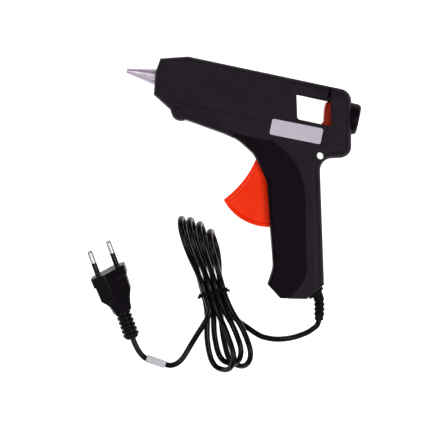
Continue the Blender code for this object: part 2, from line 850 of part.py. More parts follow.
def screw(name, spot, head_bottom, head, height, shank, length, sides=16):
    """A screw that stands on its head, which has a cross recess underneath."""
    x, y = spot
    top = head_bottom + height
    made = rod(name, (x, y, head_bottom), (x, y, top), head / 2, sides=20)
    join(made, rod(name + "_shank", (x, y, top - height / 2), (x, y, top + length), shank / 2, sides=sides))
    arm, width = head * 0.3, head * 0.09
    for turn, (a, b) in enumerate(((arm, width), (width, arm))):
        cut(
            made,
            box(
                f"{name}_recess_{turn}",
                (x - a, y - b, head_bottom - OVERRUN),
                (x + a, y + b, head_bottom + height * 0.45),
            ),
        )
    return made


def nozzle():
    tip = FRONT_FACE - NOZZLE_LENGTH
    bore = STICK_BORE / 2
    return turned(
        "nozzle",
        (
            (tip, NOZZLE_HOLE / 2),
            (tip, NOZZLE_TIP / 2 * 0.75),
            (tip + NOZZLE_TIP * 0.2, NOZZLE_TIP / 2),
            (FRONT_FACE, NOZZLE_BASE / 2),
            (NOZZLE_END, NOZZLE_BASE / 2),
            (NOZZLE_END, bore * 0.8),
            (FRONT_FACE, bore * 0.6),
            (tip + NOZZLE_TIP, NOZZLE_HOLE / 2),
        ),
    )


def heating_barrel():
    counter = SLEEVE_OUTER + FIT
    lap = BARREL_BACK - SLEEVE_LAP - FIT
    return turned(
        "heating_barrel",
        (
            (BARREL_FRONT, STICK_BORE / 2 * 0.8),
            (BARREL_FRONT, BARREL_DIAMETER / 2),
            (BARREL_BACK, BARREL_DIAMETER / 2),
            (BARREL_BACK, counter),
            (lap, counter),
            (lap, STICK_BORE / 2),
        ),
    )


def front_ring():
    start = FRONT_CRADLE + RIB / 2 - RING_LENGTH / 2
    inner = NOZZLE_BASE / 2 + FIT
    end = start + RING_LENGTH
    return turned("front_ring", ((start, inner), (start, RING_RADIUS), (end, RING_RADIUS), (end, inner)))


def feed_sleeve():
    bore = STICK_BORE / 2
    flange = SLEEVE_BACK - FLANGE_THICKNESS
    return turned(
        "feed_sleeve",
        (
            (SLEEVE_FRONT, bore),
            (SLEEVE_FRONT, SLEEVE_OUTER),
            (flange, SLEEVE_OUTER),
            (flange, FLANGE_DIAMETER / 2),
            (SLEEVE_BACK, FLANGE_DIAMETER / 2),
            (SLEEVE_BACK, bore),
        ),
    )


def sleeve_clamp():
    start = BARREL_BACK + FIT
    end = start + RING_WALL
    inner = SLEEVE_OUTER + FIT
    outer = inner + CLIP_THICKNESS * 2
    return turned("sleeve_clamp", ((start, inner), (start, outer), (end, outer), (end, inner)))


def rear_collar():
    back = COLLAR_FRONT + COLLAR_LENGTH
    dome = COLLAR_DIAMETER / 2
    return turned(
        "rear_collar",
        (
            (COLLAR_FRONT, STICK_BORE / 2),
            (COLLAR_FRONT, COLLAR_FLANGE / 2),
            (COLLAR_FRONT + FLANGE_THICKNESS, COLLAR_FLANGE / 2),
            (COLLAR_FRONT + FLANGE_THICKNESS, dome),
            (back - SLEEVE_WALL * 2, dome),
            (back - SLEEVE_WALL, dome * 0.96),
            (back, dome * 0.84),
            (back, COLLAR_MOUTH / 2),
            (back - SLEEVE_WALL * 2, STICK_BORE / 2),
        ),
        40,
    )


def heater_element():
    length, thickness, width = HEATER
    top = HEATER_TOP
    middle = HEATER_MIDDLE
    return box(
        "heater_element",
        (middle - length / 2, top - thickness, MIDDLE - width / 2),
        (middle + length / 2, top, MIDDLE + width / 2),
    )


def strip(name, path, width, thickness, place):
    """A bent strip: its path in X and Y is drawn out along Z to its width, then given its thickness."""
    shape = bmesh.new()
    ring = [shape.verts.new((x, y, -width / 2)) for x, y in path]
    edges = [shape.edges.new(pair) for pair in zip(ring, ring[1:])]
    drawn = bmesh.ops.extrude_edge_only(shape, edges=edges)["geom"]
    moved = [item for item in drawn if isinstance(item, bmesh.types.BMVert)]
    bmesh.ops.translate(shape, verts=moved, vec=(0, 0, width))
    bmesh.ops.remove_doubles(shape, verts=shape.verts, dist=0.000001)
    made = from_bmesh(name, shape, place)
    wall = made.modifiers.new("thickness", "SOLIDIFY")
    wall.thickness = thickness
    wall.offset = 0
    wall.use_even_offset = True
    return made


def heater_clip():
    middle = HEATER_MIDDLE
    radius = BARREL_DIAMETER / 2 + FIT + CLIP_THICKNESS / 2
    bottom = -(BARREL_DIAMETER / 2 + HEATER[1] + 2 * FIT + CLIP_THICKNESS / 2)
    lip = HEATER[2] / 4
    path = [(lip, bottom), (radius, bottom), *arc(radius, 0, math.pi, 12), (-radius, bottom), (-lip, bottom)]
    place = Matrix.Translation(AXIS + Vector((middle, 0, 0))) @ Matrix(
        ((0, 0, 1, 0), (0, 1, 0, 0), (-1, 0, 0, 0), (0, 0, 0, 1))
    )
    return strip("heater_clip", path, CLIP_LENGTH, CLIP_THICKNESS, place)


def finger_curve(inset=0.0):
    """The hollow front edge that the finger pulls, from its top to the tip."""
    start = Vector(FINGER_TOP)
    pull = Vector(FINGER_PULL)
    tip = Vector(arc(TRIGGER_REACH - inset, TRIGGER_FROM, TRIGGER_TO, 1)[0])
    points = []
    for step in range(9):
        t = step / 8
        point = start * (1 - t) ** 2 + pull * 2 * t * (1 - t) + tip * t * t
        slope = (pull - start) * (1 - t) + (tip - pull) * t
        side = Vector((-slope.y, slope.x)).normalized()
        points.append(tuple(point + side * inset))
    return points


def trigger():
    half = TRIGGER_WIDTH / 2
    bottom = arc(TRIGGER_REACH, TRIGGER_FROM, TRIGGER_TO, 12)
    outline = [*finger_curve(), *bottom[1:], TRIGGER_BACK[1], TRIGGER_BACK[0]]
    body = slab("trigger", outline, MIDDLE - half, MIDDLE + half)
    top = Vector((ARM_OFFSET, ARM_REACH))
    along = top.normalized()
    across = Vector((along.y, -along.x)) * ARM_WIDTH / 2
    tip = along * (top.length + SLOT_STRETCH + ARM_WIDTH / 2)
    arm = slab(
        "trigger_arm",
        [tuple(-across), tuple(across), tuple(tip + across), tuple(tip - across)],
        MIDDLE - ARM_THICKNESS / 2,
        MIDDLE + ARM_THICKNESS / 2,
    )
    hub = rod("trigger_hub", (0, 0, MIDDLE - half), (0, 0, MIDDLE + half), HUB_RADIUS)
    join(body, hub, arm)
    slot_radius = DRIVE_PIN / 2 + SLOT_PLAY
    for place, shift in enumerate((-SLOT_STRETCH, SLOT_STRETCH)):
        spot = along * (top.length + shift)
        cut(
            body,
            rod(
                f"trigger_slot_end_{place}",
                (spot.x, spot.y, MIDDLE - half),
                (spot.x, spot.y, MIDDLE + half),
                slot_radius,
                sides=16,
            ),
        )
    low, high = along * (top.length - SLOT_STRETCH), along * (top.length + SLOT_STRETCH)
    side = Vector((along.y, -along.x)) * slot_radius
    cut(
        body,
        slab(
            "trigger_slot_middle",
            [tuple(low - side), tuple(low + side), tuple(high + side), tuple(high - side)],
            MIDDLE - half,
            MIDDLE + half,
        ),
        rod("trigger_bore", (0, 0, -OVERRUN), (0, 0, CASING_WIDTH), TRIGGER_PIN / 2 + FIT),
    )
    rim = arc(TRIGGER_REACH - TRIGGER_RIM, TRIGGER_FROM, TRIGGER_TO, 12)
    recess = [
        *finger_curve(TRIGGER_RIM)[3:],
        *rim[1:-1],
        (TRIGGER_BACK[1][0] + OVERRUN, -TRIGGER_REACH * 0.85),
        (TRIGGER_BACK[0][0] + OVERRUN, -HUB_RADIUS * 1.5),
        (0, -HUB_RADIUS * 1.25),
    ]
    cut(
        body,
        slab("trigger_recess_left", recess, MIDDLE + half - RIM_DEPTH, MIDDLE + half + OVERRUN),
        slab("trigger_recess_right", recess, MIDDLE - half - OVERRUN, MIDDLE - half + RIM_DEPTH),
    )
    return body


def pusher():
    half = PUSHER_WIDTH / 2
    rise = WINDOW_HEIGHT / 2
    outline = [
        (BLOCK_FRONT + 0.10 * PUSHER_BLOCK, AXIS_HEIGHT + 0.86 * rise),
        (BLOCK_FRONT, AXIS_HEIGHT + 0.36 * rise),
        (BLOCK_FRONT + 0.06 * PUSHER_BLOCK, AXIS_HEIGHT - 0.30 * rise),
        (BLOCK_FRONT + 0.26 * PUSHER_BLOCK, AXIS_HEIGHT - 0.78 * rise),
        (BLOCK_FRONT + 0.26 * PUSHER_BLOCK, PLATE_TOP - SINK),
        (BLOCK_FRONT + PUSHER_BLOCK, PLATE_TOP - SINK),
        (BLOCK_FRONT + PUSHER_BLOCK, AXIS_HEIGHT),
        (BLOCK_FRONT + 0.85 * PUSHER_BLOCK, AXIS_HEIGHT + 0.86 * rise),
    ]
    body = slab("pusher", outline[::-1], MIDDLE - half, MIDDLE + half)
    join(
        body,
        box(
            "pusher_foot",
            (FOOT_FRONT, FOOT_BOTTOM, MIDDLE - half),
            (BLOCK_FRONT + PUSHER_BLOCK, PLATE_TOP, MIDDLE + half),
        ),
    )
    inner = ARM_THICKNESS / 2 + SLOT_PLAY
    for side in (-1, 1):
        low, high = between(side, inner, inner + LEG_THICKNESS)
        join(
            body,
            box(
                f"pusher_leg_{side + 1}",
                (ARM_OFFSET - LEG_LENGTH / 2, ARM_REACH - LEG_LENGTH / 2, low),
                (ARM_OFFSET + LEG_LENGTH / 2, FOOT_BOTTOM + SINK, high),
            ),
        )
    cut(
        body,
        rod(
            "pusher_bore",
            AXIS + Vector((BLOCK_FRONT - OVERRUN, 0, 0)),
            AXIS + Vector((BLOCK_FRONT + PUSHER_BLOCK + OVERRUN, 0, 0)),
            STICK_BORE / 2,
        ),
        rod(
            "pusher_pin_hole",
            (ARM_OFFSET, ARM_REACH, MIDDLE - half),
            (ARM_OFFSET, ARM_REACH, MIDDLE + half),
            DRIVE_PIN / 2 + FIT,
            sides=16,
        ),
    )
    return body


def return_spring():
    start, end = spring_line()
    along = Vector((*(end - start).normalized(), 0))
    across = Vector((-along.y, along.x, 0))
    radius = (SPRING_DIAMETER - SPRING_WIRE) / 2
    run = (end - start).length
    points = []
    for step in range(SPRING_TURNS * 9 + 1):
        turn = step / 9
        angle = 2 * math.pi * turn
        middle = Vector((*start, MIDDLE)) + along * run * turn / SPRING_TURNS
        points.append(middle + across * radius * math.cos(angle) + Vector((0, 0, radius * math.sin(angle))))
    return tube("return_spring", points, SPRING_WIRE, 1)


def beside(route, shift, twist=0.0):
    """The route moved sideways in X and Y, turning towards Z along it by the given twist."""
    points = [Vector(point) for point in route]
    moved = []
    for place, point in enumerate(points):
        run = points[min(place + 1, len(points) - 1)] - points[max(place - 1, 0)]
        turn = twist * place / (len(points) - 1)
        side = Vector((-run.y, run.x, 0)).normalized() * math.cos(turn)
        moved.append(point + (side + Vector((0, 0, math.sin(turn)))) * shift)
    return moved


def clamp_spots():
    centre, out = corner_cut()
    inside = centre - out * CLAMP_IN
    across = Vector((-out.y, out.x, 0)) * CLAMP_SPREAD / 2
    return inside - across, inside + across


def cord_clamp():
    centre, out = corner_cut()
    inside = centre - out * CLAMP_IN
    length, width, height = CLAMP_BAR
    bottom = MIDDLE + CORD_DIAMETER / 2 + FIT
    across = Vector((-out.y, out.x, 0))
    corners = [
        inside + across * a * length / 2 + out * b * width / 2
        for a, b in ((-1, -1), (1, -1), (1, 1), (-1, 1))
    ]
    outline = [(corner.x, corner.y) for corner in corners]
    bar = slab("cord_clamp_bar", outline, bottom, bottom + height)
    screws = []
    for place, spot in enumerate(clamp_spots(), 1):
        cut(
            bar,
            rod(
                f"clamp_bar_hole_{place}",
                (spot.x, spot.y, bottom - OVERRUN),
                (spot.x, spot.y, bottom + height + OVERRUN),
                CLAMP_SCREW / 2 + FIT,
                sides=12,
            ),
        )
        top = bottom + height + FIT
        one = rod(
            f"clamp_screw_{place}",
            (spot.x, spot.y, top),
            (spot.x, spot.y, top + HEAD_HEIGHT),
            CLAMP_HEAD / 2,
            sides=16,
        )
        join(
            one,
            rod(
                f"clamp_shank_{place}",
                (spot.x, spot.y, CLAMP_SCREW_TIP),
                (spot.x, spot.y, top + HEAD_HEIGHT / 2),
                CLAMP_SCREW / 2,
                sides=12,
            ),
        )
        screws.append(one)
    return bar, screws


def relief_path():
    """Points and radii of the strain relief, from inside the handle to where the lead leaves it."""
    centre, out = corner_cut()
    straight = RELIEF_LENGTH * 0.13
    root = centre + out * straight
    bend = centre + out * RELIEF_LENGTH * 0.44
    end = centre + Vector((*RELIEF_DROP, 0))
    neck, flange = RELIEF_NECK / 2, RELIEF_FLANGE / 2
    rows = [
        (-RELIEF_INSIDE, flange * 0.8),
        (-WALL - FIT, flange * 0.8),
        (-WALL - FIT + STEP, neck),
        (FIT - STEP, neck),
        (FIT, flange),
        (FIT + FLANGE_THICKNESS * 0.8, flange),
        (FIT + FLANGE_THICKNESS * 0.8 + STEP, RELIEF_BODY / 2 * 1.1),
        (RELIEF_LENGTH * 0.26, RELIEF_BODY / 2),
    ]
    ribs_from, ribs_to = RELIEF_LENGTH * 0.28, RELIEF_LENGTH * 0.88
    pitch = (ribs_to - ribs_from) / RELIEF_RIBS
    for rib in range(RELIEF_RIBS):
        at = ribs_from + rib * pitch
        taper = 1 - 0.14 * rib / RELIEF_RIBS
        rows += [
            (at, RELIEF_BODY / 2 * taper),
            (at + pitch * 0.45, RELIEF_BODY / 2 * taper),
            (at + pitch * 0.55, RELIEF_END / 2 * taper),
            (at + pitch * 0.9, RELIEF_END / 2 * taper),
        ]
    rows += [(RELIEF_LENGTH * 0.90, RELIEF_END / 2), (RELIEF_LENGTH, RELIEF_END / 2)]
    points, radii = [], []
    for along, radius in rows:
        if along <= straight:
            points.append(centre + out * along)
        else:
            t = (along - straight) / (RELIEF_LENGTH - straight)
            points.append(root * (1 - t) ** 2 + bend * 2 * t * (1 - t) + end * t * t)
        radii.append(radius)
    return points, radii


def strain_relief():
    points, radii = relief_path()
    return tube("strain_relief", points, RELIEF_BODY, 2, [radius / (RELIEF_BODY / 2) for radius in radii])


def hank_place(along, across, height):
    """A place in the hank: along it from the tie towards the top folds, across it, and above the surface."""
    x = HANK_CENTRE[0] + along * math.cos(HANK_TURN) + across * math.sin(HANK_TURN)
    y = HANK_CENTRE[1] + along * math.sin(HANK_TURN) - across * math.cos(HANK_TURN)
    return Vector((x, y, height))


def hank_slot(column, layer):
    """Where a run passes through the tie: its place across the hank and its height."""
    across = (column - (HANK_FOLDS - 1) / 2) * HANK_STEP
    return across, TIE_THICKNESS + FIT + CORD_DIAMETER / 2 + layer * HANK_STEP


def sway(t):
    """From 0 to 1 with one even bend each way."""
    return 2 * t * t if t < 0.5 else 1 - 2 * (1 - t) ** 2


def fold(side, reach, middle, lean, start, end):
    """Points of one loop: out from a slot in the tie, round its fold and back to the next slot."""
    half = FOLD_WIDTH / 2
    turn_at = reach - half - CORD_DIAMETER / 2
    reach_across, reach_up = half * math.cos(lean), half * math.sin(lean)
    height = CORD_DIAMETER / 2 + half * abs(math.sin(lean)) + STEP
    first = side
    points = []
    for step in range(RUN_STEPS):
        t = step / RUN_STEPS
        away = sway(t)
        target = middle - first * reach_across, height - first * reach_up
        across = start[0] + (target[0] - start[0]) * away
        up = start[1] + (target[1] - start[1]) * away
        points.append(hank_place(side * turn_at * t, across, up))
    for step in range(FOLD_STEPS + 1):
        angle = math.pi * step / FOLD_STEPS
        swing = -first * math.cos(angle)
        points.append(
            hank_place(
                side * (turn_at + half * math.sin(angle)),
                middle + swing * reach_across,
                height + swing * reach_up,
            )
        )
    for step in range(RUN_STEPS - 1, 0, -1):
        t = step / RUN_STEPS
        away = sway(t)
        target = middle + first * reach_across, height + first * reach_up
        across = end[0] + (target[0] - end[0]) * away
        up = end[1] + (target[1] - end[1]) * away
        points.append(hank_place(side * turn_at * t, across, up))
    return points


def hank_points():
    """One unbroken lead from the gun's side of the hank to the plug's: top folds and bottom loops in turn."""
    last = HANK_FOLDS - 1
    across, up = hank_slot(last, 0)
    points = [hank_place(-HANK_TAIL, across, up), hank_place(-HANK_TAIL / 2, across, up)]
    for column in range(last, -1, -1):
        middle = (column - last / 2) * TOP_PITCH
        reach = TOP_REACH * TOP_REACH_SHARES[column]
        points += fold(1, reach, middle, TOP_LEAN, hank_slot(column, 0), hank_slot(column, 1))
        if column:
            middle = (column - 1 - (last - 1) / 2) * BOTTOM_PITCH
            reach = BOTTOM_REACH * BOTTOM_REACH_SHARES[column - 1]
            points += fold(-1, reach, middle, BOTTOM_LEAN, hank_slot(column, 1), hank_slot(column - 1, 0))
    across, up = hank_slot(0, 1)
    return points + [hank_place(along, across, up) for along in (0, -HANK_TAIL / 2, -HANK_TAIL)]


def length_of(points):
    return sum((b - a).length for a, b in zip(points, points[1:]))


def least_gap(points, diameter):
    """The least clear space between parts of a lead that aren't next to each other along it."""
    fine, travelled = [], []
    far = 0.0
    for a, b in zip(points, points[1:]):
        for step in range(4):
            fine.append(a + (b - a) * step / 4)
            travelled.append(far + (b - a).length * step / 4)
        far += (b - a).length
    spots = np.array(fine)
    along = np.array(travelled)
    away = np.linalg.norm(spots[:, None] - spots[None], axis=2)
    away[np.abs(along[:, None] - along[None]) < 4 * diameter] = np.inf
    return away.min() - diameter


def hank_tie():
    width = (HANK_FOLDS - 1) * HANK_STEP + CORD_DIAMETER + 2 * FIT + TIE_THICKNESS
    height = HANK_STEP + CORD_DIAMETER + 2 * FIT + TIE_THICKNESS
    base = TIE_THICKNESS / 2 + STEP
    corners = ((-width / 2, base), (width / 2, base), (width / 2, base + height), (-width / 2, base + height))
    path = [(x, y) for x, y, _ in rounded([(x, y, CORD_DIAMETER / 2) for x, y in corners], math.radians(30))]
    path.append(path[0])
    right = Vector((math.sin(HANK_TURN), -math.cos(HANK_TURN), 0))
    along = Vector((math.cos(HANK_TURN), math.sin(HANK_TURN), 0))
    place = Matrix.Translation((*HANK_CENTRE, 0)) @ Matrix(
        (
            (right.x, 0, along.x, 0),
            (right.y, 0, along.y, 0),
            (0, 1, 0, 0),
            (0, 0, 0, 1),
        )
    )
    tie = strip("hank_tie", path, TIE_WIDTH, TIE_THICKNESS, place)
    middle = base + height
    for place_number, lean in enumerate((-1, 1)):
        root = hank_place(lean * TIE_WIDTH * 0.2, width * 0.30, middle - TIE_THICKNESS * 0.3)
        end = hank_place(lean * TIE_EAR * 0.5, width * 0.30 + TIE_EAR, middle + TIE_EAR * 0.25)
        join(tie, rod(f"tie_ear_{place_number}", root, end, TIE_THICKNESS * 0.45, sides=8))
    return tie


def lead_ends():
    """Where the free stretches meet the strain relief, the hank and the plug's tail."""
    relief, _ = relief_path()
    out = (relief[-1] - relief[-2]).normalized()
    hank = hank_points()
    first = (hank[0] - hank[1]).normalized()
    last = (hank[-1] - hank[-2]).normalized()
    tail = plug_frame() @ Vector((0, 0, PLUG_BODY + PLUG_SHOULDER + PLUG_TAIL + FIT))
    back = (plug_frame().to_3x3() @ Vector((0, 0, 1))).normalized()
    return relief[-1] + out * FIT, out, hank[0] + first * FIT, first, hank[-1] + last * FIT, last, tail, back


def cord_to_hank():
    start, out, end, first, *_ = lead_ends()
    middle = smooth_route(
        [start + out * CORD_DIAMETER, *CORD_ROUTE_TO_HANK, end + first * CORD_DIAMETER], CORD_SPACING
    )
    return [start, *middle, end]


def cord_to_plug():
    *_, start, last, tail, back = lead_ends()
    through = Vector((-math.cos(TAG_TURN), -math.sin(TAG_TURN), 0))
    tag = [Vector(TAG_PLACE) + through * TAG[0] * share for share in (-0.6, -0.5, 0, 0.5, 0.6)]
    after, before = start + last * CORD_DIAMETER, tail + back * CORD_DIAMETER
    middle = smooth_route([after, *CORD_ROUTE_TO_TAG, *tag, *CORD_ROUTE_TO_PLUG, before], CORD_SPACING)
    return [start, *middle, tail]


def plug_frame():
    """The plug's own frame: its front face at zero, Z back along its tail, X across its width."""
    height = (
        TAIL_DIAMETER * 0.46 + STEP + math.sin(PLUG_PITCH) * (PLUG_BODY + PLUG_SHOULDER + PLUG_TAIL)
    )
    back = Vector(
        (
            math.cos(PLUG_HEADING) * math.cos(PLUG_PITCH),
            math.sin(PLUG_HEADING) * math.cos(PLUG_PITCH),
            -math.sin(PLUG_PITCH),
        )
    )
    flat = Vector((math.sin(PLUG_HEADING), -math.cos(PLUG_HEADING), 0))
    upright = back.cross(flat)
    if upright.z < 0:
        upright = -upright
    across = flat * math.cos(PLUG_ROLL) + upright * math.sin(PLUG_ROLL)
    thick = back.cross(across)
    turn = Matrix((across, thick, back)).transposed()
    return Matrix.Translation((*PLUG_FACE, height)) @ turn.to_4x4()


def plug_pieces():
    half, thick = PLUG_WIDTH / 2, PLUG_THICKNESS / 2
    flat = PLUG_FLAT_SHARE
    upper = [(half, 0), (half * flat, thick), (-half * flat, thick)]
    outline = upper + [(-x, -y) for x, y in upper]
    body = slab("plug_body", outline, 0, PLUG_BODY)
    shape = bmesh.new()
    shape.from_mesh(body.data)
    back = max(shape.faces, key=lambda face: face.calc_center_median().z)
    for rise, wide, deep in ((0, 0.86, 1.0), (0.30, 0.70, 0.95), (0.32, 0.66, 0.94), (0.38, 0.90, 0.96)):
        if rise:
            made = bmesh.ops.extrude_face_region(shape, geom=[back])["geom"]
            bmesh.ops.delete(shape, geom=[back], context="FACES_ONLY")
            back = next(item for item in made if isinstance(item, bmesh.types.BMFace))
            bmesh.ops.translate(shape, verts=back.verts, vec=(0, 0, PLUG_SHOULDER * rise))
        bmesh.ops.scale(shape, verts=back.verts, vec=(wide, deep, 1))
    bmesh.ops.recalc_face_normals(shape, faces=shape.faces)
    shape.to_mesh(body.data)
    shape.free()
    start = PLUG_BODY + PLUG_SHOULDER * 0.6
    end = PLUG_BODY + PLUG_SHOULDER + PLUG_TAIL
    pitch = PLUG_TAIL / TAIL_RIBS
    outer, groove = TAIL_DIAMETER / 2, TAIL_DIAMETER / 2 - TAIL_GROOVE
    profile = [(start, 0), (start, outer * 0.96)]
    for rib in range(TAIL_RIBS):
        at = PLUG_BODY + PLUG_SHOULDER + rib * pitch
        taper = 1 - 0.10 * rib / TAIL_RIBS
        profile += [
            (at, outer * taper),
            (at + pitch * 0.55, outer * taper),
            (at + pitch * 0.62, groove * taper),
            (at + pitch * 0.93, groove * taper),
        ]
    profile += [(end, outer * 0.9), (end, 0)]
    frame = plug_frame()
    tail = spun("plug_tail", profile, 20)
    body.matrix_world = frame
    tail.matrix_world = frame
    join(body, tail)
    pieces = [body]
    sleeve_end = -PIN_LENGTH * SLEEVE_SHARE
    for name, side in (("left", -1), ("right", 1)):
        x = side * PIN_SPACING / 2
        pin = spun(
            f"plug_pin_{name}",
            [
                (-PIN_LENGTH, 0),
                (-PIN_LENGTH, PIN_DIAMETER / 2 * 0.55),
                (-PIN_LENGTH + PIN_DIAMETER * 0.2, PIN_DIAMETER / 2 * 0.9),
                (-PIN_LENGTH + PIN_DIAMETER * 0.4, PIN_DIAMETER / 2),
                (sleeve_end - FIT, PIN_DIAMETER / 2),
                (sleeve_end - FIT, PIN_CORE / 2),
                (-FIT, PIN_CORE / 2),
                (-FIT, 0),
            ],
            16,
        )
        sleeve = spun(
            f"plug_sleeve_{name}",
            [
                (sleeve_end, PIN_CORE / 2 + FIT),
                (sleeve_end, PIN_DIAMETER / 2 * 0.96),
                (-FIT, PIN_DIAMETER / 2 * 0.96),
                (-FIT, PIN_CORE / 2 + FIT),
            ],
            16,
        )
        for piece in (pin, sleeve):
            piece.matrix_world = frame @ Matrix.Translation((x, 0, 0))
            pieces.append(piece)
    return pieces


def spun(name, profile, steps):
    """A turned piece on its own Z. The profile is (place along Z, radius), from the front to the back."""
    shape = bmesh.new()
    ring = [shape.verts.new((radius, 0, along)) for along, radius in profile]
    for first, second in zip(ring, ring[1:]):
        shape.edges.new((first, second))
    if profile[0][1] > 0:
        shape.edges.new((ring[-1], ring[0]))
    mesh = bpy.data.meshes.new(name)
    shape.to_mesh(mesh)
    shape.free()
    obj = new_object(name, mesh)
    screw_modifier = obj.modifiers.new("turn", "SCREW")
    screw_modifier.axis = "Z"
    screw_modifier.steps = steps
    screw_modifier.render_steps = steps
    screw_modifier.use_merge_vertices = True
    screw_modifier.merge_threshold = 0.00001
    shape = mesh_now(obj)
    bpy.data.objects.remove(obj, do_unlink=True)
    bmesh.ops.remove_doubles(shape, verts=shape.verts, dist=0.000001)
    return from_bmesh(name, shape)


def cord_tag():
    length, width, height = TAG
    half = Vector((length / 2, width / 2, height / 2))
    tag = box("cord_tag", -half, half)
    cut(
        tag,
        rod(
            "cord_tag_bore",
            (-length, 0, 0),
            (length, 0, 0),
            CORD_DIAMETER / 2 + FIT,
            sides=16,
        ),
    )
    place = Matrix.Translation(TAG_PLACE) @ Matrix.Rotation(TAG_TURN, 4, "Z")
    tag.matrix_world = place
    for cutter in bpy.data.collections["cutters"].objects:
        if cutter.name == "cord_tag_bore":
            cutter.matrix_world = place
    return tag


def wiring(finishes):
    """The two wires up the handle, their crimps and the heater's own wires."""
    dark, pale, metal = finishes
    centre, out = corner_cut()
    start = centre - out * (CORD_IN + FIT)
    lead_route = [start, start - out * 2 * WIRE]
    lead_route += [Vector((*scaled_place(x, y), z * MIDDLE)) for x, y, z in LEAD_SHARES]
    heater_end = Vector((HEATER_MIDDLE + HEATER[0] / 2, HEATER_TOP - HEATER[1] / 2, MIDDLE))
    over_post = scaled_place(*SCREW_SHARES[1])[1] + POST_DIAMETER / 2 + WIRE_OVER_POST
    heights = (0, over_post, heater_end.y)
    heater_route = [
        Vector((x * heater_end.x, np.interp(y, range(3), heights), z * MIDDLE)) for x, y, z in HEATER_SHARES
    ]
    for name, side, finish in (("live", 1, dark), ("neutral", -1, pale)):
        lower = smooth_route(beside(lead_route, side * WIRE_SHIFT), 2 * WIRE)
        upper = smooth_route(beside(heater_route, side * WIRE_SHIFT, math.pi / 2), 2 * WIRE)
        keep(tube(f"lead_{name}", lower, WIRE), finish)
        keep(tube(f"heater_lead_{name}", upper, WIRE), pale)
        along = (upper[0] - lower[-1]).normalized()
        first, last = lower[-1] + along * FIT, upper[0] - along * FIT
        keep(rod(f"crimp_{name}", first, last, CRIMP_DIAMETER / 2, sides=12), metal)


def cord_inner_end():
    centre, out = corner_cut()
    start = centre - out * (RELIEF_INSIDE + FIT)
    end = centre - out * CORD_IN
    return tube("cord_inner_end", [start, (start + end) / 2, end], CORD_DIAMETER)


def main():
    clear_scene()
    black = material("casing_black", (0.017, 0.014, 0.017), 0.45)
    orange = material("trigger_orange", (0.85, 0.085, 0.003), 0.38)
    steel = material("steel", (0.55, 0.53, 0.52), 0.28, 1.0)
    nozzle_metal = material("nozzle_metal", (0.62, 0.58, 0.62), 0.35, 1.0)
    silicone = material("silicone", (0.55, 0.16, 0.10), 0.5)
    ceramic = material("ceramic", (0.72, 0.70, 0.66), 0.6)
    cord_black = material("cord_black", (0.012, 0.011, 0.013), 0.3)
    plate_grey = material("plate_grey", (0.55, 0.48, 0.58), 0.4)
    paper = material("tag_white", (0.75, 0.72, 0.74), 0.6)
    blue = material("wire_blue", (0.05, 0.12, 0.45), 0.4)

    for name, side in (("left_shell", 1), ("right_shell", -1)):
        shell, form = casing_half(name, side)
        fit_casing(shell, form, side)
        keep(shell, black)
    keep(rating_plate(), plate_grey)
    for place, (x_share, y_share) in enumerate(SCREW_SHARES, 1):
        spot = scaled_place(x_share, y_share)
        bottom = HEAD_DEPTH - FIT - HEAD_HEIGHT
        sizes = (HEAD_DIAMETER, HEAD_HEIGHT, SCREW_DIAMETER, SCREW_LENGTH)
        keep(screw(f"shell_screw_{place}", spot, bottom, *sizes), steel)
    keep(nozzle(), nozzle_metal)
    keep(heating_barrel(), nozzle_metal)
    keep(front_ring(), ceramic)
    keep(feed_sleeve(), silicone)
    keep(sleeve_clamp(), steel)
    keep(rear_collar(), black)
    keep(heater_element(), ceramic)
    keep(heater_clip(), steel)
    keep(trigger(), orange)
    half_pin = PIN_DEPTH
    keep(
        rod("trigger_pin", (0, 0, MIDDLE - half_pin), (0, 0, MIDDLE + half_pin), TRIGGER_PIN / 2, sides=20),
        steel,
    )
    keep(pusher(), orange)
    pin_half = ARM_THICKNESS / 2 + SLOT_PLAY + LEG_THICKNESS
    keep(
        rod(
            "drive_pin",
            (ARM_OFFSET, ARM_REACH, MIDDLE - pin_half),
            (ARM_OFFSET, ARM_REACH, MIDDLE + pin_half),
            DRIVE_PIN / 2,
            sides=16,
        ),
        steel,
    )
    keep(return_spring(), steel)
    wiring((cord_black, blue, steel))
    keep(cord_inner_end(), cord_black)
    bar, clamp_screws = cord_clamp()
    keep(bar, black)
    for one in clamp_screws:
        keep(one, steel)
    keep(strain_relief(), cord_black)

    to_hank, hank, to_plug = cord_to_hank(), hank_points(), cord_to_plug()
    keep(tube("cord_to_hank", to_hank, CORD_DIAMETER), cord_black)
    keep(tube("cord_hank", hank, CORD_DIAMETER, 1), cord_black)
    keep(tube("cord_to_plug", to_plug, CORD_DIAMETER), cord_black)
    keep(hank_tie(), cord_black)
    keep(cord_tag(), paper)
    for piece in plug_pieces():
        keep(piece, steel if "pin" in piece.name else cord_black)
    whole = length_of(to_hank) + length_of(hank) + length_of(to_plug)
    print(f"lead {whole:.3f} m, least gap in the hank {1000 * least_gap(hank, CORD_DIAMETER):.2f} mm")


main()
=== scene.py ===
"""Mini hot glue gun lying on its right side, its mains lead tied in a hank: the visual model.

Metres, +Z up. X runs along the barrel with the nozzle at -X, Y runs up the gun, Z across its width.
"""

import json
import math

import bmesh
import bpy
from bpy.props import FloatProperty, FloatVectorProperty, IntProperty, PointerProperty
from mathutils import Matrix, Vector

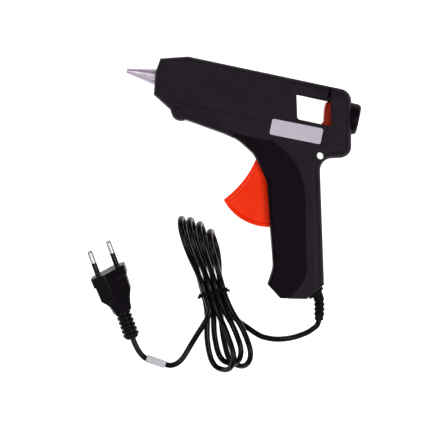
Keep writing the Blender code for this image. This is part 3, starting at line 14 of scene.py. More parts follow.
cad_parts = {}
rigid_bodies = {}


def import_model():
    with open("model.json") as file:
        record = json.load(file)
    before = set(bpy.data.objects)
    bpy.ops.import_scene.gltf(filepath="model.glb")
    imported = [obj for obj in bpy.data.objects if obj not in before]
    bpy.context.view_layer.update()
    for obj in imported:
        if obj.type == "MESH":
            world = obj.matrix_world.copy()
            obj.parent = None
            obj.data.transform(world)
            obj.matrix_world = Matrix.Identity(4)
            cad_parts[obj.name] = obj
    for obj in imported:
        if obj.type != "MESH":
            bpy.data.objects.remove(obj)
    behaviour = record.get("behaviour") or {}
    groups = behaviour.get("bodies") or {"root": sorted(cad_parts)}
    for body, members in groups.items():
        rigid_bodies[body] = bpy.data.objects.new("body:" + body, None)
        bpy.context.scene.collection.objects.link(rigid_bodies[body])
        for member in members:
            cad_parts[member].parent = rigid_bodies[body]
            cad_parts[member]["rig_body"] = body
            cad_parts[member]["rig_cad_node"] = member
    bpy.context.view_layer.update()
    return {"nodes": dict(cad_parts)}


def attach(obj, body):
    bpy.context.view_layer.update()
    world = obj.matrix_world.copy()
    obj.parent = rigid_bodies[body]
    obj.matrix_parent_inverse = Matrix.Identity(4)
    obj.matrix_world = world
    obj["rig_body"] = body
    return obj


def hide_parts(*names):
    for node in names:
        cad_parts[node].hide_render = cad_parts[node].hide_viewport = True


bl_info = {
    "name": "Hot Glue Gun",
    "version": (1, 0, 0),
    "blender": (4, 5, 0),
    "location": "View3D > Sidebar > Glue Gun",
    "description": "Builds a mini hot glue gun piece by piece around its CAD frame",
    "category": "Object",
}

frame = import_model()

# Sizes that the CAD model has too
NOSE_REACH = 0.0925
REAR_REACH = 0.0530
HANDLE_DROP = 0.0823
CASING_WIDTH = 0.0290
NOSE_WIDTH = 0.0190
REAR_ROUND = 0.0068
FIT = 0.0003
OVERRUN = 0.0020
MIDDLE = CASING_WIDTH / 2
PLATE_SEAT = CASING_WIDTH - 0.0005
AXIS_HEIGHT = 0.0513
TOP_HEIGHT = AXIS_HEIGHT + 0.0184
AXIS = Vector((0, AXIS_HEIGHT, MIDDLE))
WINDOW_HEIGHT = 0.0175
WINDOW_BOTTOM = AXIS_HEIGHT - WINDOW_HEIGHT / 2
NOZZLE_RADIUS = 0.0057
COLLAR_RADIUS = 0.0109
COLLAR_LENGTH = 0.0152
COLLAR_END = REAR_REACH + 0.0004
TRIGGER_REACH = 0.0358
TRIGGER_FIRST = math.radians(219.7)
TRIGGER_LAST = math.radians(291)
FOOT_TOP = WINDOW_BOTTOM - 0.0010
FOOT_LOW = FOOT_TOP - 0.0042
LEG = 0.0040  # half the width of the carriage's legs and of the trigger's arm
PIN_TRAVEL = 0.0013  # how far the drive pin moves in the arm's slot, each way
DRIVE_PIN = Vector((0.0066, FOOT_LOW - LEG - PIN_TRAVEL - 0.00155))
SLACK = 0.00003  # an opening in the skin is this much larger than in the ribs behind it

# Corners of the casing: x in shares of the reach on that side, y in shares of the height or the drop, the
# corner's radius in shares of REAR_ROUND, and the round of the edge that starts there, as a share of it
OUTLINE = (
    (-0.782, 0.999, 0, 0.60),
    (0.828, 1.0, 1.22, 1.0),
    (1.011, 0.353, 1.12, 1.0),
    (0.606, 0.274, 1.30, 1.0),
    (1.008, -0.806, 0, 0.42),
    (0.823, -0.956, 0, 0.42),
    (0.479, -1.0, 0, 0.42),
    (0.275, -0.905, 0, 0.60),
    (0.300, -0.750, 2.6, 0.60),
    (-0.011, -0.051, 2.2, 0.60),
    (-0.124, 0.140, 0, 0.60),
    (-0.157, 0.187, 1.4, 0.60),
    (-0.292, 0.290, 4.0, 0.60),
    (-0.400, 0.321, 5.0, 0.60),
    (-0.703, 0.376, 0, 0.60),
    (-0.724, 0.357, 0.72, 0.60),
    (-0.793, 0.352, 0.9, 0.60),
    (-0.836, 0.449, 0, 0.48),
    (-0.866, 0.471, 0, 0.36),
    (-0.979, 0.556, 0, 0.36),
    (-1.0, 0.790, 0, 0.36),
    (-0.985, 0.925, 0, 0.36),
)
NOSE_LINE = ((-0.811, 0.855), (-0.886, 0.689), (-0.886, 0.613))
NOSE_FIRST = 18  # the outline's corners from here on belong to the nose
SCREWS = (
    (-0.735, 0.901),
    (-0.368, 0.416),
    (0.047, 0.917),
    (0.840, 0.481),
    (0.547, -0.510),
    (0.453, -0.851),
)

# The smooth panel on the grip, from the trigger down to the end of the handle
GRIP_PANEL = (
    (-0.0103, 0.0238),
    (-0.0026, 0.0244),
    (0.0044, 0.0209),
    (0.0115, 0.0162),
    (0.0174, 0.0109),
    (0.0215, 0.0050),
    (0.0250, -0.0009),
    (0.0286, -0.0123),
    (0.0314, -0.0251),
    (0.0357, -0.0437),
    (0.0396, -0.0594),
    (0.0389, -0.0666),
    (0.0364, -0.0723),
    (0.0325, -0.0787),
    (0.0270, -0.0900),
    (0.0000, -0.0900),
    (-0.0300, 0.0000),
    (-0.0300, 0.0238),
)

# The groove between the rail over the window and the block behind it; its walls take the darker smooth finish
# as painted shade for the step's shadow
RAIL_NOTCH = ((0.0284, 0.0618), (0.0309, 0.0618), (0.0296, 0.0688), (0.0288, 0.0688))

# The hank's middle at the tie, its turn, and the distance between strands that lie side by side
HANK_CENTRE = (-0.0207, -0.0880)
HANK_TURN = math.radians(117.3)
STRAND_PITCH = 0.0044

# The lead's way from the strain relief through the hank to the plug, as the CAD's three pieces have it,
# in tenths of a millimetre
LEAD_ROUTE = (
    (553, -918, 145), (548, -953, 137), (524, -986, 116), (495, -1016, 92), (459, -1042, 69),
    (421, -1066, 48), (378, -1086, 33), (332, -1102, 24), (283, -1113, 19), (234, -1116, 19),
    (184, -1113, 20), (137, -1098, 20), (91, -1079, 20), (45, -1060, 22), (-1, -1039, 24),
    (-44, -1015, 27), (-81, -982, 30), (-102, -951, 32), (-120, -918, 32), (-121, -915, 32),
    (-137, -884, 32), (-153, -853, 32), (-172, -813, 32), (-188, -771, 30), (-200, -728, 28),
    (-210, -684, 24), (-223, -640, 22), (-238, -599, 20), (-257, -559, 20), (-278, -521, 29),
    (-300, -490, 53), (-317, -471, 89), (-328, -468, 132), (-332, -479, 175), (-327, -504, 211),
    (-314, -539, 235), (-296, -579, 244), (-275, -618, 237), (-255, -657, 216), (-235, -696, 182),
    (-214, -735, 138), (-194, -774, 103), (-174, -814, 83), (-153, -853, 76), (-122, -907, 81),
    (-86, -958, 95), (-45, -1007, 118), (1, -1054, 148), (42, -1103, 171), (78, -1155, 185),
    (110, -1209, 189), (124, -1250, 183), (127, -1291, 165), (116, -1324, 137), (94, -1345, 105),
    (64, -1351, 72), (31, -1340, 45), (-1, -1315, 26), (-26, -1279, 20), (-53, -1223, 20),
    (-78, -1165, 22), (-99, -1106, 24), (-119, -1046, 28), (-141, -987, 30), (-165, -929, 32),
    (-192, -873, 32), (-216, -824, 32), (-238, -775, 30), (-257, -724, 28), (-275, -672, 24),
    (-295, -622, 22), (-317, -572, 20), (-340, -524, 20), (-362, -486, 29), (-383, -455, 53),
    (-401, -436, 89), (-412, -432, 132), (-415, -444, 175), (-410, -469, 211), (-398, -504, 235),
    (-379, -544, 244), (-354, -591, 237), (-327, -638, 216), (-300, -685, 182), (-272, -731, 138),
    (-244, -778, 103), (-218, -825, 83), (-192, -873, 76), (-164, -923, 81), (-132, -971, 95),
    (-96, -1017, 118), (-56, -1062, 148), (-20, -1108, 171), (12, -1156, 185), (41, -1206, 189),
    (55, -1247, 183), (58, -1288, 165), (47, -1321, 137), (25, -1342, 105), (-5, -1348, 72),
    (-38, -1337, 45), (-70, -1312, 26), (-95, -1276, 20), (-119, -1224, 20), (-140, -1170, 22),
    (-156, -1113, 24), (-170, -1056, 28), (-187, -999, 30), (-207, -945, 32), (-232, -893, 32),
    (-259, -839, 32), (-285, -784, 30), (-310, -729, 28), (-335, -673, 24), (-360, -618, 22),
    (-386, -563, 20), (-413, -509, 20), (-435, -471, 29), (-456, -440, 53), (-473, -421, 89),
    (-485, -418, 132), (-488, -429, 175), (-483, -454, 211), (-470, -489, 235), (-452, -529, 244),
    (-423, -582, 237), (-392, -635, 216), (-359, -686, 182), (-324, -736, 138), (-291, -787, 103),
    (-260, -840, 83), (-232, -893, 76), (-202, -947, 81), (-169, -1000, 95), (-134, -1051, 118),
    (-97, -1101, 148), (-62, -1152, 171), (-29, -1205, 185), (0, -1259, 189), (15, -1300, 183),
    (17, -1341, 165), (7, -1374, 137), (-15, -1395, 105), (-45, -1401, 72), (-78, -1390, 45),
    (-110, -1365, 26), (-135, -1329, 20), (-161, -1273, 20), (-182, -1214, 22), (-197, -1153, 24),
    (-209, -1089, 28), (-224, -1028, 30), (-245, -969, 32), (-271, -913, 32), (-300, -856, 32),
    (-329, -799, 30), (-358, -743, 28), (-388, -686, 24), (-417, -629, 22), (-446, -572, 20),
    (-475, -515, 20), (-497, -477, 29), (-518, -446, 53), (-536, -427, 89), (-547, -423, 132),
    (-550, -435, 175), (-545, -460, 211), (-533, -495, 235), (-514, -535, 244), (-483, -591, 237),
    (-449, -645, 216), (-412, -698, 182), (-373, -750, 138), (-336, -803, 103), (-302, -857, 83),
    (-271, -913, 76), (-255, -944, 76), (-239, -975, 76), (-237, -978, 76), (-220, -1012, 76),
    (-220, -1060, 73), (-231, -1107, 61), (-244, -1152, 48), (-259, -1196, 35), (-275, -1242, 27),
    (-291, -1287, 22), (-306, -1334, 22), (-324, -1379, 23), (-351, -1419, 25), (-392, -1445, 29),
    (-440, -1447, 32), (-489, -1442, 32), (-537, -1436, 32), (-585, -1431, 32), (-625, -1404, 37),
    (-658, -1369, 42), (-688, -1330, 47), (-707, -1299, 54),
)


def size(label, text, default, **more):
    return FloatProperty(name=label, description=text, default=default, unit="LENGTH", **more)


def angle(label, text, degrees):
    return FloatProperty(name=label, description=text, default=math.radians(degrees), subtype="ANGLE")


def power(label, text, default):
    return FloatProperty(name=label, description=text, default=default, min=0)


def colour(label, text, default):
    return FloatVectorProperty(
        name=label, description=text, default=default, size=3, min=0, max=1, subtype="COLOR"
    )


class CasingSettings(bpy.types.PropertyGroup):
    skin: size("Skin", "Thickness of the outer wall that the ribs stand on", 0.0016)
    corner_step: angle("Corner step", "Turn between two points of a rounded corner", 6)
    segments: IntProperty(name="Edge segments", description="Faces across a rounded edge", default=8, min=2)
    chamfer: size("Chamfer", "Broken edge round the openings", 0.0004)
    groove: size("Groove", "Half width of the line along the barrel's side", 0.00038)
    grip_depth: size("Grip depth", "How far the smooth grip panel lies below the texture", 0.00025)
    body: colour("Textured plastic", "Colour of the casing", (0.0135, 0.0088, 0.0145))
    grip: colour("Smooth plastic", "Colour of the grip panel", (0.0052, 0.0024, 0.0052))
    plate: colour("Plate", "Colour of the bare rating plate", (0.55, 0.50, 0.59))


class WorksSettings(bpy.types.PropertyGroup):
    trigger: colour("Trigger", "Colour of the trigger", (1.0, 0.030, 0.0))
    # The carriage is the trigger's plastic, its orange darkened as painted shade for its place inside the
    # window
    pusher: colour("Pusher", "Colour of the carriage in the window", (0.44, 0.028, 0.008))
    nozzle: colour("Nozzle", "Colour of the nozzle's metal", (0.50, 0.44, 0.51))
    edge: size("Soft edge", "Round on the moulded edges of the trigger and the carriage", 0.00035)


class LeadSettings(bpy.types.PropertyGroup):
    diameter: size("Diameter", "Thickness of the mains lead", 0.0040)
    stagger: size("Stagger", "How far the hank's upper strands lie aside of its lower ones", 0.0011)
    relief_length: size("Relief length", "Strain relief from the handle to its end", 0.0195)
    relief_flange: size("Relief flange", "Width of the relief's flange", 0.0122)
    tie: size("Tie", "Thickness of the cord that ties the hank", 0.0010)
    cord: colour("Jacket", "Colour of the lead's jacket", (0.0040, 0.0032, 0.0044))
    tag: colour("Tag", "Colour of the bare sleeve on the lead", (0.60, 0.57, 0.61))


class PlugSettings(bpy.types.PropertyGroup):
    width: size("Width", "Across the plug's front face", 0.0350)
    thickness: size("Thickness", "Through the plug's front face", 0.0135)
    front: size("Front", "Front face to the step round the body", 0.0068)
    body: size("Body", "Front face to the shoulder", 0.0180)
    shoulder: size("Shoulder", "Shoulder to the ribbed tail", 0.0130)
    tail: size("Tail", "Length of the ribbed tail", 0.0196)
    tail_diameter: size("Tail diameter", "Across the tail's ribs", 0.0116)
    pin_length: size("Pin length", "Front face to the pin's tip", 0.0189)
    pin_diameter: size("Pin diameter", "Thickness of a pin", 0.0040)
    spacing: size("Pin spacing", "Between the middles of the pins", 0.0190)
    skin: colour("Plastic", "Colour of the plug", (0.0065, 0.0046, 0.0072))


class StageSettings(bpy.types.PropertyGroup):
    height: size("Camera height", "Camera above the middle of the casing", 2.2)
    view_width: size("View width", "Width of what the camera sees", 0.301)
    turn: angle("Turn", "Turn of the picture against the barrel", 12)
    middle: FloatVectorProperty(
        name="Middle",
        description="What the camera points at",
        default=(-0.0311, -0.0346),
        size=2,
        unit="LENGTH",
    )
    floor: colour("Floor", "Colour of the floor", (0.90, 0.90, 0.90))
    glow: power("Floor glow", "Light that the pale floor gives off", 0.98)
    sky: power("Sky", "Brightness of the even light", 0.16)
    key: power("Key light", "Power of the main light", 12.0)


class GunSettings(bpy.types.PropertyGroup):
    casing: PointerProperty(type=CasingSettings)
    works: PointerProperty(type=WorksSettings)
    lead: PointerProperty(type=LeadSettings)
    plug: PointerProperty(type=PlugSettings)
    stage: PointerProperty(type=StageSettings)


def start():
    if bpy.context.mode != "OBJECT":
        bpy.ops.object.mode_set(mode="OBJECT")
    bpy.ops.object.select_all(action="DESELECT")


def pick(obj):
    start()
    bpy.context.view_layer.objects.active = obj
    obj.select_set(True)
    return obj


def edit(obj):
    pick(obj)
    bpy.ops.object.mode_set(mode="EDIT")
    bpy.ops.mesh.select_mode(type="VERT")
    bpy.ops.mesh.select_all(action="SELECT")


def named(name):
    obj = bpy.context.object
    obj.name = name
    obj.data.name = name
    return obj


def choose(kind, test):
    """Selects the vertices, edges or faces that pass the test, in edit mode."""
    bpy.ops.mesh.select_mode(type=kind)
    bpy.ops.mesh.select_all(action="DESELECT")
    mesh = bpy.context.object.data
    shape = bmesh.from_edit_mesh(mesh)
    shape.normal_update()
    parts = {"VERT": shape.verts, "EDGE": shape.edges, "FACE": shape.faces}[kind]
    found = [part for part in parts if test(part)]
    for part in found:
        part.select_set(True)
    shape.select_flush_mode()
    bmesh.update_edit_mesh(mesh)
    return len(found)


def move(value):
    bpy.ops.transform.translate(value=value)


def grow(value, middle=(0, 0, 0)):
    bpy.ops.transform.resize(value=value, center_override=middle)


def extrude(value):
    bpy.ops.mesh.extrude_region_move(TRANSFORM_OT_translate={"value": value})


def face_outwards():
    bpy.ops.mesh.select_all(action="SELECT")
    bpy.ops.mesh.normals_make_consistent(inside=False)


def line(name, points, closed=True):
    """Draws a line of edges point after point and leaves it selected in edit mode."""
    start()
    bpy.ops.mesh.primitive_plane_add(size=0.001, location=(0, 0, 0))
    obj = named(name)
    bpy.ops.object.mode_set(mode="EDIT")
    bpy.ops.mesh.select_mode(type="VERT")
    bpy.ops.mesh.select_all(action="SELECT")
    bpy.ops.mesh.merge(type="CENTER")
    points = [Vector(point) for point in points]
    move(points[0])
    for here, there in zip(points, points[1:]):
        bpy.ops.mesh.extrude_vertices_move(TRANSFORM_OT_translate={"value": there - here})
    if closed:
        last = len(points) - 1
        choose("VERT", lambda vert: vert.index in (0, last))
        bpy.ops.mesh.edge_face_add()
    bpy.ops.mesh.select_all(action="SELECT")
    return obj


def drawn(name, points, low, high):
    """A flat outline in X and Y, drawn out between two heights. It stays in edit mode."""
    obj = line(name, [(x, y, low) for x, y in points])
    bpy.ops.mesh.edge_face_add()
    extrude((0, 0, high - low))
    face_outwards()
    return obj


def turned(name, profile, steps=64, centre=AXIS, along=Vector((1, 0, 0)), out=Vector((0, 1, 0))):
    """Spins a profile of (place along, radius), which closes on itself or ends on the axis."""
    points = [centre + along * place + out * radius for place, radius in profile]
    obj = line(name, points, closed=profile[0][1] > 0)
    bpy.ops.mesh.spin(steps=steps, angle=2 * math.pi, center=centre, axis=along)
    bpy.ops.mesh.select_all(action="SELECT")
    bpy.ops.mesh.remove_doubles(threshold=0.000004)
    bpy.ops.mesh.delete_loose()
    face_outwards()
    return obj


def standing(name, profile, x=0.0, y=0.0, steps=48):
    """A turned piece whose axis stands up at a place."""
    return turned(name, profile, steps, Vector((x, y, 0)), Vector((0, 0, 1)), Vector((1, 0, 0)))


def rod(name, first, last, radius, sides=64):
    """A round bar between two points."""
    first, last = Vector(first), Vector(last)
    run = last - first
    start()
    bpy.ops.mesh.primitive_cylinder_add(
        vertices=sides,
        radius=radius,
        depth=run.length,
        location=(first + last) / 2,
        rotation=run.to_track_quat("Z", "Y").to_euler(),
    )
    return named(name)


def block(name, low, high):
    """A block between its lowest and highest corners."""
    low, high = Vector(low), Vector(high)
    start()
    bpy.ops.mesh.primitive_cube_add(size=1, location=(low + high) / 2, scale=high - low)
    return named(name)


def modify(obj, kind, **settings):
    """Adds a modifier and applies it."""
    pick(obj)
    bpy.ops.object.modifier_add(type=kind)
    made = obj.modifiers[-1]
    for name, value in settings.items():
        setattr(made, name, value)
    bpy.ops.object.modifier_apply(modifier=made.name)
    return obj


def soften(obj, width, degrees):
    """Rounds the edges that are sharper than an angle."""
    return modify(
        obj, "BEVEL", width=width, segments=3, limit_method="ANGLE", angle_limit=math.radians(degrees)
    )


def combine(obj, operation, *others, **settings):
    """Unites, cuts or intersects a piece with others, which are used up."""
    start()
    for other in others:
        modify(obj, "BOOLEAN", operation=operation, object=other, solver="EXACT", **settings)
        if not obj.data.polygons:
            raise RuntimeError(f"{obj.name} is empty after {other.name}")
        bpy.data.objects.remove(other)
    return obj


def twin(obj, name):
    """A copy with its own mesh, free of any body."""
    pick(obj)
    bpy.ops.object.duplicate()
    bpy.ops.object.parent_clear(type="CLEAR_KEEP_TRANSFORM")
    made = named(name)
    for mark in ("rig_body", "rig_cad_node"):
        if mark in made:
            del made[mark]
    return made


def finished(obj, body, slot, finish, *nodes, soft=32):
    """Puts the piece's place in its mesh, shades it, ties it to its body and hides its CAD nodes. The slot is
    not used.
    """
    pick(obj)
    bpy.ops.object.transform_apply()
    bpy.ops.object.shade_smooth_by_angle(angle=math.radians(soft))
    modify(obj, "WEIGHTED_NORMAL", keep_sharp=True)
    if finish is not None:
        obj.data.materials.clear()
        obj.data.materials.append(finish)
    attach(obj, body)
    if nodes:
        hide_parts(*nodes)
    return obj


def rounded(corners, turn_step):
    """A closed outline whose corners (x, y, radius) are arcs. Each point comes with its corner's number."""
    points = []
    for place, (x, y, radius) in enumerate(corners):
        here = Vector((x, y))
        before = Vector(corners[place - 1][:2]) - here
        after = Vector(corners[(place + 1) % len(corners)][:2]) - here
        if radius <= 0:
            points.append((x, y, place))
            continue
        inside = before.angle(after)
        setback = radius / math.tan(inside / 2)
        first_spot = here + before.normalized() * setback
        last_spot = here + after.normalized() * setback
        way_in = (before.normalized() + after.normalized()).normalized()
        middle = here + way_in * radius / math.sin(inside / 2)
        first = (first_spot - middle).angle_signed(Vector((1, 0)))
        turn = (last_spot - middle).angle_signed(first_spot - middle)
        steps = max(2, round(abs(turn) / turn_step))
        for step in range(steps + 1):
            at = first + turn * step / steps
            points.append((middle.x + radius * math.cos(at), middle.y + radius * math.sin(at), place))
    return points


def eased(corners, degrees=12):
    """An outline or profile of (x, y, radius) without the corners' numbers."""
    return [(x, y) for x, y, _ in rounded(corners, math.radians(degrees))]


def arc(radius, first, last, steps):
    turns = [first + (last - first) * step / steps for step in range(steps + 1)]
    return [(radius * math.cos(turn), radius * math.sin(turn)) for turn in turns]


def smooth(points, pieces):
    """A denser line through the same points."""
    points = [Vector(point) for point in points]
    ends = [2 * points[0] - points[1], *points, 2 * points[-1] - points[-2]]
    dense = []
    for a, b, c, d in zip(ends, ends[1:], ends[2:], ends[3:]):
        for step in range(pieces):
            t = step / pieces
            curve = (c - a) * t + (a * 2 - b * 5 + c * 4 - d) * t * t + (b * 3 - a - c * 3 + d) * t**3
            dense.append(b + curve / 2)
    return [*dense, points[-1]]


def wire(name, lines, diameter, resolution=4, radii=None):
    """A round wire along one or more lines of points."""
    curve = bpy.data.curves.new(name, "CURVE")
    curve.dimensions = "3D"
    curve.bevel_depth = diameter / 2
    curve.bevel_resolution = resolution
    curve.use_fill_caps = True
    for points in lines:
        spline = curve.splines.new("POLY")
        spline.points.add(len(points) - 1)
        for place, at in enumerate(points):
            spline.points[place].co = (*at, 1)
            spline.points[place].radius = radii[place] if radii else 1
    obj = bpy.data.objects.new(name, curve)
    bpy.context.scene.collection.objects.link(obj)
    return obj


def as_mesh(obj):
    pick(obj)
    bpy.ops.object.convert(target="MESH")
    edit(obj)
    bpy.ops.mesh.remove_doubles(threshold=0.000001)
    face_outwards()
    start()
    return obj


def scaled(x_share, y_share):
    x = x_share * (NOSE_REACH if x_share < 0 else REAR_REACH)
    return x, y_share * (TOP_HEIGHT if y_share > 0 else HANDLE_DROP)


def plain(name, tint, roughness, metallic=0.0, specular=0.5):
    """A Principled finish, whose constant values stay on the shader's own sockets."""
    made = bpy.data.materials.new(name)
    made.use_nodes = True
    shader = made.node_tree.nodes["Principled BSDF"]
    shader.inputs["Base Color"].default_value = (*tint, 1)
    shader.inputs["Roughness"].default_value = roughness
    shader.inputs["Metallic"].default_value = metallic
    shader.inputs["Specular IOR Level"].default_value = specular
    made.diffuse_color = (*tint, 1)
    return made


def grain(finish, scale, detail=3.0, stretch=(1, 1, 1), turn=(0, 0, 0)):
    """Noise that is fixed to the piece. The scale is in grains a metre."""
    nodes, links = finish.node_tree.nodes, finish.node_tree.links
    place = nodes.new("ShaderNodeTexCoord")
    turned_place = nodes.new("ShaderNodeMapping")
    turned_place.inputs["Rotation"].default_value = turn
    turned_place.inputs["Scale"].default_value = stretch
    noise = nodes.new("ShaderNodeTexNoise")
    noise.inputs["Scale"].default_value = scale
    noise.inputs["Detail"].default_value = detail
    links.new(place.outputs["Object"], turned_place.inputs["Vector"])
    links.new(turned_place.outputs["Vector"], noise.inputs["Vector"])
    return noise.outputs["Fac"]


def tinted(finish, noise, low, high):
    """Lets the noise take the colour between two multiples of its own."""
    nodes, links = finish.node_tree.nodes, finish.node_tree.links
    shader = nodes["Principled BSDF"]
    tint = shader.inputs["Base Color"].default_value[:3]
    ramp = nodes.new("ShaderNodeValToRGB")
    for stop, place, strength in zip(ramp.color_ramp.elements, (0.3, 0.7), (low, high)):
        stop.position = place
        stop.color = (*(min(1, part * strength) for part in tint), 1)
    links.new(noise, ramp.inputs["Fac"])
    links.new(ramp.outputs["Color"], shader.inputs["Base Color"])


def worn(finish, noise, low, high):
    """Lets the noise take the roughness from low to high."""
    nodes, links = finish.node_tree.nodes, finish.node_tree.links
    reach = nodes.new("ShaderNodeMapRange")
    reach.inputs["From Min"].default_value = 0.3
    reach.inputs["From Max"].default_value = 0.7
    reach.inputs["To Min"].default_value = low
    reach.inputs["To Max"].default_value = high
    links.new(noise, reach.inputs["Value"])
    links.new(reach.outputs["Result"], nodes["Principled BSDF"].inputs["Roughness"])


def embossed(finish, noise, depth, strength=1.0):
    """Lets the noise raise the surface. Each call adds to the one before."""
    nodes, links = finish.node_tree.nodes, finish.node_tree.links
    normal = nodes["Principled BSDF"].inputs["Normal"]
    bump = nodes.new("ShaderNodeBump")
    bump.inputs["Strength"].default_value = strength
    bump.inputs["Distance"].default_value = depth
    if normal.is_linked:
        links.new(normal.links[0].from_socket, bump.inputs["Normal"])
    links.new(noise, bump.inputs["Height"])
    links.new(bump.outputs["Normal"], normal)


def textured_plastic(tint):
    made = plain("casing_texture", tint, 0.52, specular=0.09)
    fine = grain(made, 1900, 2)
    worn(made, grain(made, 60, 4), 0.47, 0.57)
    tinted(made, grain(made, 90, 5), 0.82, 1.2)
    embossed(made, fine, 0.00005, 0.5)
    embossed(made, grain(made, 35, 3), 0.0003, 0.1)
    return made


def smooth_plastic(tint):
    made = plain("casing_smooth", tint, 0.42, specular=0.05)
    worn(made, grain(made, 45, 5), 0.38, 0.48)
    tinted(made, grain(made, 30, 3), 0.85, 1.15)
    embossed(made, grain(made, 900, 3), 0.00002, 0.3)
    return made


def moulded_orange(name, tint):
    made = plain(name, tint, 0.30, specular=0.24)
    worn(made, grain(made, 70, 5), 0.26, 0.34)
    tinted(made, grain(made, 55, 4), 0.90, 1.06)
    embossed(made, grain(made, 1500, 2), 0.00003, 0.3)
    embossed(made, grain(made, 60, 2), 0.0002, 0.12)
    return made


def turned_metal(name, tint):
    """Fine rings round the barrel's line, with some heat stain."""
    made = plain(name, tint, 0.42, 0.8)
    rings = grain(made, 4200, 2, stretch=(1, 0.02, 0.02))
    worn(made, grain(made, 140, 4), 0.38, 0.50)
    tinted(made, grain(made, 110, 4), 0.88, 1.08)
    embossed(made, rings, 0.00002, 0.4)
    return made


def bright_steel(name="steel_bright", tint=(0.50, 0.48, 0.48), roughness=0.36):
    made = plain(name, tint, roughness, 1.0)
    worn(made, grain(made, 300, 4), roughness - 0.05, roughness + 0.1)
    tinted(made, grain(made, 200, 3), 0.9, 1.05)
    embossed(made, grain(made, 2500, 2), 0.00001, 0.3)
    return made


def jacket(tint):
    """Glossy soft plastic, slightly uneven along the lead."""
    made = plain("lead_jacket", tint, 0.25, specular=0.14)
    worn(made, grain(made, 220, 4), 0.20, 0.29)
    tinted(made, grain(made, 90, 3), 0.8, 1.25)
    embossed(made, grain(made, 110, 2), 0.00025, 0.10)
    embossed(made, grain(made, 1800, 2), 0.00002, 0.3)
    return made


def soft_grip(name, tint, roughness=0.4):
    made = plain(name, tint, roughness, specular=0.06)
    worn(made, grain(made, 160, 4), roughness - 0.05, roughness + 0.08)
    tinted(made, grain(made, 80, 3), 0.85, 1.15)
    embossed(made, grain(made, 1700, 2), 0.00003, 0.4)
    return made


def paper(tint):
    """Thin white film with soft creases."""
    made = plain("tag_film", tint, 0.5, specular=0.4)
    tinted(made, grain(made, 120, 4), 0.93, 1.03)
    worn(made, grain(made, 200, 3), 0.42, 0.58)
    embossed(made, grain(made, 260, 3), 0.0003, 0.25)
    return made


def fired(name, tint, roughness=0.65):
    """Ceramic and silicone: an even tint with fine pores."""
    made = plain(name, tint, roughness, specular=0.4)
    tinted(made, grain(made, 350, 4), 0.9, 1.05)
    worn(made, grain(made, 220, 3), roughness - 0.08, roughness + 0.08)
    embossed(made, grain(made, 2200, 3), 0.00004, 0.5)
    return made


def pressed_plate(tint):
    made = plain("plate_film", tint, 0.40, specular=0.45)
    tinted(made, grain(made, 45, 3), 0.95, 1.04)
    worn(made, grain(made, 130, 4), 0.34, 0.46)
    embossed(made, grain(made, 1300, 2), 0.00002, 0.25)
    return made


def finish_named(name, make, *settings):
    """The finish of that name, made the first time it is asked for."""
    return bpy.data.materials.get(name) or make(*settings)


class GLUEGUN_OT_stage(bpy.types.Operator):
    """Camera, floor and soft studio light"""

    bl_idname = "gluegun.stage"
    bl_label = "Stage"

    def execute(self, context):
        stage = context.scene.glue_gun.stage
        start()
        spot = (*stage.middle, MIDDLE + stage.height)
        bpy.ops.object.camera_add(location=spot, rotation=(0, 0, stage.turn))
        camera = context.object
        camera.name = "photo_camera"
        camera.data.sensor_width = 36
        camera.data.lens = 36 * stage.height / stage.view_width
        camera.data.clip_end = 20
        context.scene.camera = camera
        context.scene.view_settings.view_transform = "Standard"

        world = bpy.data.worlds.new("studio")
        world.use_nodes = True
        world.node_tree.nodes["Background"].inputs["Strength"].default_value = stage.sky
        context.scene.world = world

        start()
        bpy.ops.mesh.primitive_grid_add(x_subdivisions=2, y_subdivisions=2, size=6, location=(0, 0, -0.0003))
        floor = named("floor")
        matt = plain("floor_paper", stage.floor, 0.8, specular=0.1)
        worn(matt, grain(matt, 30, 3), 0.75, 0.85)
        shader = matt.node_tree.nodes["Principled BSDF"]
        shader.inputs["Emission Color"].default_value = (1, 1, 1, 1)
        shader.inputs["Emission Strength"].default_value = stage.glow
        floor.data.materials.append(matt)

        turn = Matrix.Rotation(stage.turn, 3, "Z")
        lights = (
            ("key", (-0.65, 0.60, 1.45), 0.8, 0.85),
            ("fill", (0.72, -0.28, 1.35), 0.7, 1.1),
            ("front", (-0.75, -0.75, 1.10), 0.7, 0.45),
        )
        for name, place, wide, strength in lights:
            at = turn @ Vector(place) + Vector((*stage.middle, 0))
            aim = Vector((*stage.middle, 0)) - at
            start()
            facing = aim.to_track_quat("-Z", "Y").to_euler()
            bpy.ops.object.light_add(type="AREA", location=at, rotation=facing)
            light = context.object
            light.name = name + "_light"
            light.data.size = wide
            light.data.energy = stage.key * strength
        return {"FINISHED"}


class GLUEGUN_OT_lead(bpy.types.Operator):
    """The mains lead, one unbroken line from the strain relief through the hank to the plug"""

    bl_idname = "gluegun.lead"
    bl_label = "Mains Lead"

    def execute(self, context):
        lead = context.scene.glue_gun.lead
        first, *others = [Vector([part / 10000 for part in spot]) for spot in LEAD_ROUTE]
        inside = Vector((0, 0.0016, 0))
        route = [first + inside, first]
        for spot in others:
            if (spot - route[-1]).length > 0.0012:
                route.append(spot)
        lower_strands, upper_strands = 0.0042, 0.0074
        for spot in route[10:]:
            lift = min(1, max(0, (spot.z - lower_strands) / (upper_strands - lower_strands)))
            spot.x += lead.stagger * lift * math.sin(HANK_TURN)
            spot.y -= lead.stagger * lift * math.cos(HANK_TURN)
        lowest = lead.diameter / 2 + 0.0002
        for spot in route:
            spot.z = max(spot.z, lowest)
        obj = wire("mains_lead", [smooth(route, 4)], lead.diameter, 5)
        obj.data.materials.append(finish_named("lead_jacket", jacket, lead.cord))
        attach(obj, "casing")
        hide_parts("cord_to_hank", "cord_hank", "cord_to_plug")
        return {"FINISHED"}


